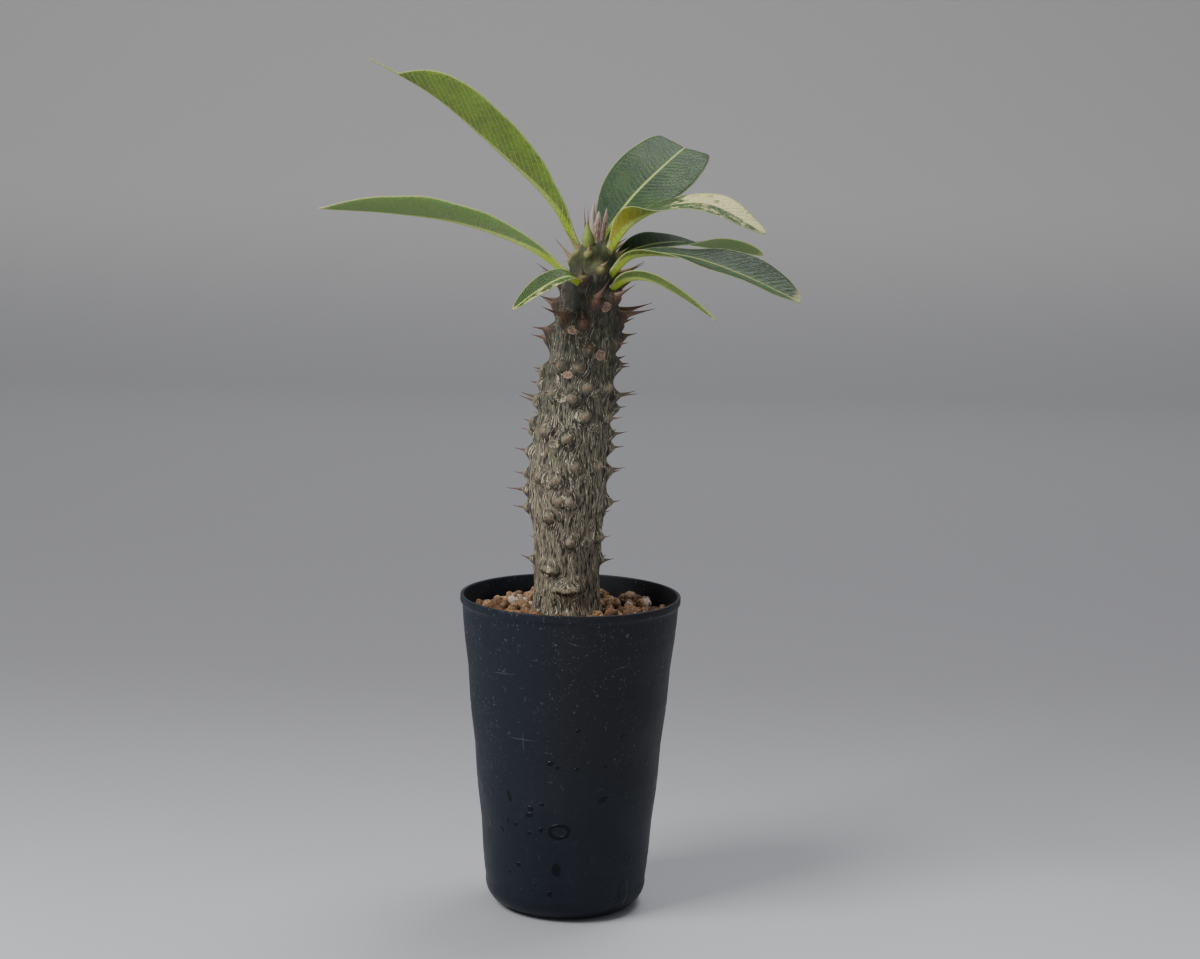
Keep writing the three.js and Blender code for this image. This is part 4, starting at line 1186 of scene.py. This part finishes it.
def grit_finish(settings):
    """Baked clay and pumice: ochre to umber grains by their own draw, pitted and rough, and painted
    darker where they lie deep, as shade in the gaps between the grains."""
    finish = Finish("baked_clay_grit", {"Roughness": 0.92})
    place = finish.coordinates()
    mottle = finish.noise(place, 520, 4, 0.65)
    pits = finish.cells(place, 1500)
    finish.set("Base Color", finish.layered(
        finish.ramp(finish.value("kind"), (0.0, settings.umber), (0.3, (0.17, 0.09, 0.038)),
                    (0.5, settings.ochre), (0.88, (0.36, 0.22, 0.11)), (0.97, settings.pale)),
        (finish.step(mottle, 0.55, 0.32, 0.0, 0.85), (0.06, 0.028, 0.012)),
        (finish.step(mottle, 0.55, 0.75, 0.0, 0.5), (0.5, 0.36, 0.22)),
        # painted shade: everything below 123.5 mm is darkened, as shade deep among the grains
        (finish.step(finish.axis(place, 2), 0.1235, 0.1195, 0.0, 0.85), (0.03, 0.015, 0.008)),
        (finish.step(pits, 0.22, 0.05, 0.0, 0.6), (0.06, 0.03, 0.015))))
    finish.relief(finish.plus(finish.step(pits, 0.0, 0.4), finish.noise(place, 900, 4, 0.7)), 0.0011)
    return finish.material


class PLANT_OT_grit(bpy.types.Operator):
    """Make the coarse grit in the pot"""

    bl_idname = "plant.grit"
    bl_label = "Grit"

    def execute(self, context):
        pot = context.scene.plant_pot
        settings = context.scene.plant_grit
        skin = grit_skin(settings, pot.rim / MM, pot.height / MM)
        grit = skin.to_object("loose_grit", grit_finish(settings))
        stand_for(grit, ["soil"])
        return {"FINISHED"}


# Leaves

def blade_half_width(leaf, share):
    """A stalk's width at first, then a bow that is widest at the leaf's peak."""
    u = np.clip((share - PETIOLE_SHARE) / (1 - PETIOLE_SHARE - leaf.get("tail", 0)), 0, 1)
    fall = leaf.get("fall", TIP_FALL)
    rise = leaf.get("rise", fall * leaf["peak"] / (1 - leaf["peak"]))
    bow = (u / leaf["peak"]) ** rise * ((1 - u) / (1 - leaf["peak"])) ** fall
    return mix(PETIOLE_HALF_WIDTH, TIP_HALF_WIDTH, u) + (leaf["width"] - PETIOLE_HALF_WIDTH) * bow


def cream_share(leaf, share, place):
    """How far a place on the blade is painted pale as a glare highlight: by one amount on the left
    half and another on the right, both rising between two shares of the way along the leaf."""
    left, right, low, high = leaf.get("cream", (0, 0, 0, 1))
    return smooth(share, low, high) * mix(right, left, smooth(place, -0.05, 0.05))


def leaf_skin(leaf, thickness, seed):
    """A leaf as rings across its midrib. Each ring is the upper face from edge to edge, a V opened
    by the fold and rounded at the rib, and the lower face back again, a blade's thickness down and
    deeper under the rib. The edges wave a little, the side veins are sunk in the upper face and
    stand out below, and the blade is puffed up between them."""
    share = np.concatenate([[0.0], np.linspace(0, 1, LEAF_STATIONS)])
    spot, slope = curve_through(leaf["rib"], share)
    along = unit(slope)
    spot[0] -= PEG_LENGTH * along[0]
    run = np.append(0, np.cumsum(np.linalg.norm(np.diff(spot, axis=0), axis=1)))[:, None]
    left, right = (np.radians(eased(leaf[half], share)) for half in ("left", "right"))
    roll = (left - right)[:, None] / 2
    level = unit(np.cross([0, 0, 1.0], along))
    across = level * np.cos(roll) + np.cross(along, level) * np.sin(roll)
    above = np.cross(along, across)
    share = share[:, None]
    half = blade_half_width(leaf, share)
    fold = (left + right)[:, None] / 2 * np.minimum(1, share / PETIOLE_SHARE / 2)
    keel = PETIOLE_DEPTH * (1 - share) ** 1.5
    even = np.linspace(-1, 1, LEAF_PLACES)
    place = even * (0.6 + 0.4 * even ** 2)
    aside = place * half
    far = np.abs(aside)
    edge = place ** 2
    ripple = np.where(place < 0, *(noise(np.stack(np.broadcast_arrays(run / WAVE_LENGTH, row, seed), -1))
                                   for row in (0.5, 7.5)))
    broad = smooth(half, 3, 9)
    wave = EDGE_WAVE * ripple * edge * broad
    phase = (run - far * leaf["lean"] - VEIN_CURVE * far ** 2) / leaf["vein"]
    phase = phase + VEIN_SHIFT * (place < 0)
    vein = np.exp(-((phase % 1 - 0.5) / VEIN_HALF_WIDTH) ** 2)
    puff = np.cos(2 * math.pi * phase)
    blade = smooth(far, 1.0, 3.0) * smooth(half - far, 0.0, 1.5) * broad
    rounded = np.sqrt(far ** 2 + 0.5) - math.sqrt(0.5)
    lift = rounded * np.sin(fold) + keel / 2 + wave
    upper_lift = lift + blade * (UPPER_PUFF * puff - UPPER_VEIN * vein)
    thin = thickness * mix(1, EDGE_THINNED, edge)
    ribbed = (keel + RIB_PROUD * (1 - share)) * np.exp(-(aside / RIB_HALF_WIDTH) ** 2)
    lower_lift = lift - thin - ribbed + blade * (LOWER_PUFF * puff - LOWER_VEIN * vein)

    def face(rise):
        flat_reach = (aside * np.cos(fold))[..., None] * across[:, None]
        return spot[:, None] + flat_reach + rise[..., None] * above[:, None]

    def both(values):
        values = np.broadcast_to(values, (len(share), LEAF_PLACES))
        return np.hstack([values, values[:, ::-1]])

    grid = np.hstack([face(upper_lift), face(lower_lift)[:, ::-1]])
    upper = np.hstack([np.ones((len(share), LEAF_PLACES)), np.zeros((len(share), LEAF_PLACES))])
    coordinates = np.stack([both(aside + 30), both(run)], -1) * MM
    coordinates = np.concatenate([coordinates, coordinates[:, :1]], 1)
    upper_rib = mix(1.5, 0.55, smooth(share, 0.0, 0.3)) - 0.2 * smooth(share, 0.3, 0.9)
    lower_rib = mix(1.9, 0.6, smooth(share, 0.0, 0.9))
    rib = np.hstack([far / upper_rib, (far / lower_rib)[:, ::-1]])
    skin = Skin()
    skin.add_tube(grid, coordinates, upper=upper, phase=both(phase), rib=rib, edge=both(half - far),
                  share=both(share), bloom=leaf["bloom"], glow=leaf.get("glow", 0.0),
                  cream=both(cream_share(leaf, share, place)))
    return skin


def leaf_finish(settings):
    """A waxy leaf: deep green above and yellow-green below, with a pale midrib and stalk, pale side
    veins, a fine net between them and a pale yellow-green edge. Light comes through the blade, and a
    bloom of wax hides the veins of some leaves. Some have a painted glare highlight, pale yellow in
    patches, and some a painted yellow backlight near their foot."""
    finish = Finish("waxy_leaf", {
        "Subsurface Weight": 0.35, "Subsurface Scale": 0.0012, "Subsurface Radius": (0.7, 1.0, 0.22),
        "Specular IOR Level": 0.32, "Coat Weight": 0.05, "Coat Roughness": 0.3,
    })
    place, flat = finish.coordinates(), finish.surface()
    names = ("bloom", "rib", "share", "glow", "cream")
    bloom, rib, share, glow, cream = (finish.value(name) for name in names)
    upper = finish.step(finish.value("upper"), 0.3, 0.7)
    bare = finish.math("SUBTRACT", 1.0, bloom)
    cycle = finish.off(finish.math("FRACT", finish.value("phase")), 0.5)
    vein = finish.times(finish.step(cycle, 0.11, 0.03), bare)
    net = finish.times(finish.step(finish.cells(flat, 1300, "DISTANCE_TO_EDGE"), 0.13, 0.03), bare)
    mottle = finish.step(finish.noise(place, 130, 4, 0.6), 0.35, 0.7)
    fine = finish.noise(place, 900, 3, 0.6)
    green = finish.layered(
        settings.face,
        (mottle, (0.035, 0.085, 0.018)),
        (finish.times(vein, 0.4), (0.1, 0.17, 0.05)),
        (finish.times(net, 0.12), (0.13, 0.2, 0.07)),
        # painted light: the foot of some blades is made yellower above, as light shining through them
        (finish.times(glow, finish.step(share, 0.5, 0.05, 0.3, 1.0)), (0.1, 0.15, 0.03)))
    below = finish.layered(
        settings.back,
        (mottle, (0.12, 0.17, 0.03)),
        (finish.step(fine, 0.4, 0.65, 0.0, 0.2), (0.07, 0.1, 0.02)),
        (finish.times(vein, 0.85), (0.36, 0.4, 0.15)),
        (finish.times(net, 0.12), (0.25, 0.33, 0.1)),
        (bloom, (0.17, 0.245, 0.09)),
        # painted light: the foot of the under face of some blades is made yellow, as light shining through
        # them
        (finish.times(glow, finish.step(share, 0.42, 0.3)), (0.42, 0.36, 0.03)))
    stalk = finish.mixed(finish.step(share, 0.12, 0.3), (0.33, 0.45, 0.03), settings.rib)
    patches = finish.plus(finish.times(finish.noise(place, 260, 3, 0.6), 1.2), cream, -1.12)
    finish.set("Base Color", finish.layered(
        finish.mixed(upper, below, green),
        (finish.step(rib, 1.15, 0.75), stalk),
        # painted highlight: a pale yellow glare laid in patches over the upper face of some leaf halves
        (finish.times(finish.where((patches, 0.0, 0.3), (cream, 0.02, 0.12)), upper), (0.62, 0.58, 0.27)),
        (finish.step(finish.value("edge"), 0.5, 0.15, 0.0, 0.7), (0.42, 0.45, 0.2)),
        (finish.step(share, 0.95, 0.995, 0.0, 0.7), (0.5, 0.46, 0.22))))
    finish.set("Roughness", finish.plus(finish.times(upper, -0.12), 0.5))
    finish.relief(finish.plus(finish.times(net, -0.5), finish.times(fine, 1.3),
                              finish.times(vein, -0.6)), 0.0003)
    return finish.material


class PLANT_OT_leaves(bpy.types.Operator):
    """Make the eight long leaves of the crown"""

    bl_idname = "plant.leaves"
    bl_label = "Leaves"

    def execute(self, context):
        settings = context.scene.plant_leaf
        finish = leaf_finish(settings)
        for seed, leaf in enumerate(LEAVES):
            skin = leaf_skin(leaf, settings.thickness / MM, seed)
            piece = skin.to_object("veined_" + leaf["name"], finish)
            stand_for(piece, [leaf["name"]])
        return {"FINISHED"}


# Young leaves

def young_skin(foot, tip, radius, seed):
    """A furled leaf: a spindle whose section winds in by one turn, so that one edge shows as a
    groove that climbs round it."""
    share = np.linspace(0, 1, YOUNG_ROWS)[:, None]
    foot, way = np.array(foot, float), np.subtract(tip, foot)
    reach = np.linalg.norm(way)
    direction = way / reach
    side, up = framed(direction)
    angle = angles(YOUNG_COLUMNS)
    size = np.interp(share, [0, 0.12, 0.35, 0.7, 0.92, 1], [0.75, 0.95, 1.1, 0.95, 0.45, 0.05]) * radius
    groove = np.cos((angle - 2.2 * share - seed) / 2) ** 24
    size = size * (1 - GROOVE_DEPTH * groove)
    bow = YOUNG_BOW * np.sin(share * math.pi) * (1 if seed % 2 else -1)
    line = foot + share * way + bow * side
    skin = Skin()
    skin.add_tube(line[:, None] + size[..., None] * ring_of(angle, side, up)[None], share=share,
                  groove=groove, kind=float(seed))
    return skin


def young_finish():
    """Downy furled leaves: green at the foot, red-brown above it and pale at the tip, with a dark
    groove. The first is paler all over."""
    finish = Finish("downy_young_leaf", {
        "Roughness": 0.75, "Sheen Weight": 0.8, "Sheen Roughness": 0.4,
    })
    share = finish.value("share")
    down = finish.noise(finish.stretched(finish.coordinates(), (1, 1, 0.25)), 2600, 3, 0.6)
    finish.set("Base Color", finish.layered(
        (0.2, 0.27, 0.08),
        (finish.step(share, 0.05, 0.35), (0.2, 0.1, 0.07)),
        (finish.step(share, 0.6, 0.95), (0.42, 0.3, 0.25)),
        (finish.step(finish.value("kind"), 0.5, 0.4, 0.0, 0.75), (0.55, 0.52, 0.42)),
        (finish.step(down, 0.5, 0.7, 0.0, 0.6), (0.7, 0.66, 0.58)),
        (finish.times(finish.value("groove"), 0.7), (0.06, 0.03, 0.02))))
    finish.relief(down, 0.0004)
    return finish.material


class PLANT_OT_young_leaves(bpy.types.Operator):
    """Make the furled young leaves at the growing point"""

    bl_idname = "plant.young_leaves"
    bl_label = "Young leaves"

    def execute(self, context):
        finish = young_finish()
        for seed, (name, foot, tip, radius) in enumerate(YOUNG_LEAVES):
            piece = young_skin(foot, tip, radius, seed).to_object("downy_" + name, finish)
            stand_for(piece, [name])
        return {"FINISHED"}


# Stage

def sweep_floor(settings):
    """A floor that curves up into a wall behind: level, a quarter round, then upright. Painted shade
    makes it darker away from the object, and painted light makes it lighter again towards the wall."""
    depth, curve, rise = 1.9, 0.9, 1.6
    angle = np.linspace(0, math.pi / 2, 24)[1:]
    ahead = np.concatenate([[-2.5, 0, depth], depth + curve * np.sin(angle), [depth + curve]])
    height = np.concatenate([[0, 0, 0], curve * (1 - np.cos(angle)), [curve + rise]])
    sides = np.linspace(-3, 3, 9)
    grid = np.stack(np.broadcast_arrays(sides[None], ahead[:, None], height[:, None]), -1)
    rows, columns = grid.shape[:2]
    index = np.arange(rows * columns).reshape(rows, columns)
    faces = np.stack([index[:-1, :-1], index[:-1, 1:], index[1:, 1:], index[1:, :-1]], -1).reshape(-1, 4)
    mesh = bpy.data.meshes.new("pale_floor")
    mesh.from_pydata(grid.reshape(-1, 3).tolist(), [], faces.tolist())
    mesh.polygons.foreach_set("use_smooth", np.ones(len(faces), bool))
    finish = Finish("pale_board", {"Roughness": 0.6})
    place = finish.coordinates()
    away, height = finish.axis(place, 1), finish.axis(place, 2)
    wall = finish.mixed(finish.step(height, 0.1, 0.9), (0.54, 0.53, 0.53), (0.56, 0.545, 0.535))
    finish.set("Base Color", finish.layered(
        settings.floor,
        (finish.step(finish.noise(place, 3.0, 4, 0.55), 0.3, 0.7), tuple(0.93 * c for c in settings.floor)),
        # painted shade and light: the floor is darkened away from the object and lightened again nearer the
        # wall
        (finish.step(away, -0.35, 0.45), (0.2, 0.2, 0.215)),
        (finish.step(away, 0.5, 2.1), (0.36, 0.36, 0.375)),
        (finish.step(height, -0.02, 0.24), wall)))
    mesh.materials.append(finish.material)
    floor = bpy.data.objects.new("pale_floor", mesh)
    bpy.context.scene.collection.objects.link(floor)


def soft_light(name, place, target, size, power, tint):
    """A large square light that looks at target."""
    light = bpy.data.lights.new(name, "AREA")
    light.size = size
    light.energy = power
    light.color = tint
    lamp = bpy.data.objects.new(name, light)
    lamp.location = place
    lamp.rotation_euler = (Vector(target) - Vector(place)).to_track_quat("-Z", "Y").to_euler()
    bpy.context.scene.collection.objects.link(lamp)


def place_camera():
    """The camera looks along +Y, tipped down by its pitch and turned by its roll."""
    pitch, roll = math.radians(CAMERA_PITCH), math.radians(CAMERA_ROLL)
    ahead = np.array([0, math.cos(pitch), -math.sin(pitch)])
    up = np.array([0, math.sin(pitch), math.cos(pitch)])
    right = np.array([1.0, 0, 0])
    rolled_right = math.cos(roll) * right + math.sin(roll) * up
    rolled_up = math.cos(roll) * up - math.sin(roll) * right
    data = bpy.data.cameras.new("camera")
    data.lens = CAMERA_LENS
    data.sensor_width = CAMERA_SENSOR
    camera = bpy.data.objects.new("camera", data)
    turned = Matrix(np.stack([rolled_right, rolled_up, -ahead], 1).tolist()).to_4x4()
    camera.matrix_world = Matrix.Translation(CAMERA_PLACE) @ turned
    bpy.context.scene.collection.objects.link(camera)
    bpy.context.scene.camera = camera


class PLANT_OT_stage(bpy.types.Operator):
    """Set up the pale floor, the soft lights and the camera"""

    bl_idname = "plant.stage"
    bl_label = "Stage"

    def execute(self, context):
        settings = context.scene.plant_stage
        sweep_floor(settings)
        target = (0, 0, 0.2)
        soft_light("key_light", (-1.1, -0.7, 1.5), target, 0.8, settings.key, (1.0, 0.985, 0.96))
        soft_light("top_light", (0.5, 0.6, 1.8), target, 0.9, settings.top, (0.99, 0.99, 1.0))
        world = bpy.data.worlds.new("even_light")
        world.use_nodes = True
        world.node_tree.nodes["Background"].inputs["Color"].default_value = (0.93, 0.96, 1.0, 1.0)
        world.node_tree.nodes["Background"].inputs["Strength"].default_value = settings.fill
        context.scene.world = world
        place_camera()
        return {"FINISHED"}


class PLANT_PT_panel(bpy.types.Panel):
    """The plant's pieces and their settings"""

    bl_idname = "PLANT_PT_panel"
    bl_label = "Potted Pachypodium"
    bl_space_type = "VIEW_3D"
    bl_region_type = "UI"
    bl_category = "Pachypodium"

    def draw(self, context):
        for operator in OPERATORS:
            self.layout.operator(operator.bl_idname)
        for name in GROUPS:
            box = self.layout.box()
            settings = getattr(context.scene, name)
            for key in settings.__annotations__:
                box.prop(settings, key)


GROUPS = {
    "plant_pot": PotSettings,
    "plant_grit": GritSettings,
    "plant_trunk": TrunkSettings,
    "plant_leaf": LeafSettings,
    "plant_stage": StageSettings,
}
OPERATORS = [
    PLANT_OT_nursery_pot, PLANT_OT_grit, PLANT_OT_trunk, PLANT_OT_thorns, PLANT_OT_leaves,
    PLANT_OT_young_leaves, PLANT_OT_stage,
]


def register():
    for kind in [*GROUPS.values(), *OPERATORS, PLANT_PT_panel]:
        bpy.utils.register_class(kind)
    for name, group in GROUPS.items():
        setattr(bpy.types.Scene, name, bpy.props.PointerProperty(type=group))


def unregister():
    for name in GROUPS:
        delattr(bpy.types.Scene, name)
    for kind in reversed([*GROUPS.values(), *OPERATORS, PLANT_PT_panel]):
        bpy.utils.unregister_class(kind)


def main():
    register()
    bpy.ops.plant.nursery_pot()
    bpy.ops.plant.grit()
    bpy.ops.plant.trunk()
    bpy.ops.plant.thorns()
    bpy.ops.plant.leaves()
    bpy.ops.plant.young_leaves()
    bpy.ops.plant.stage()


if __name__ == "__main__":
    main()
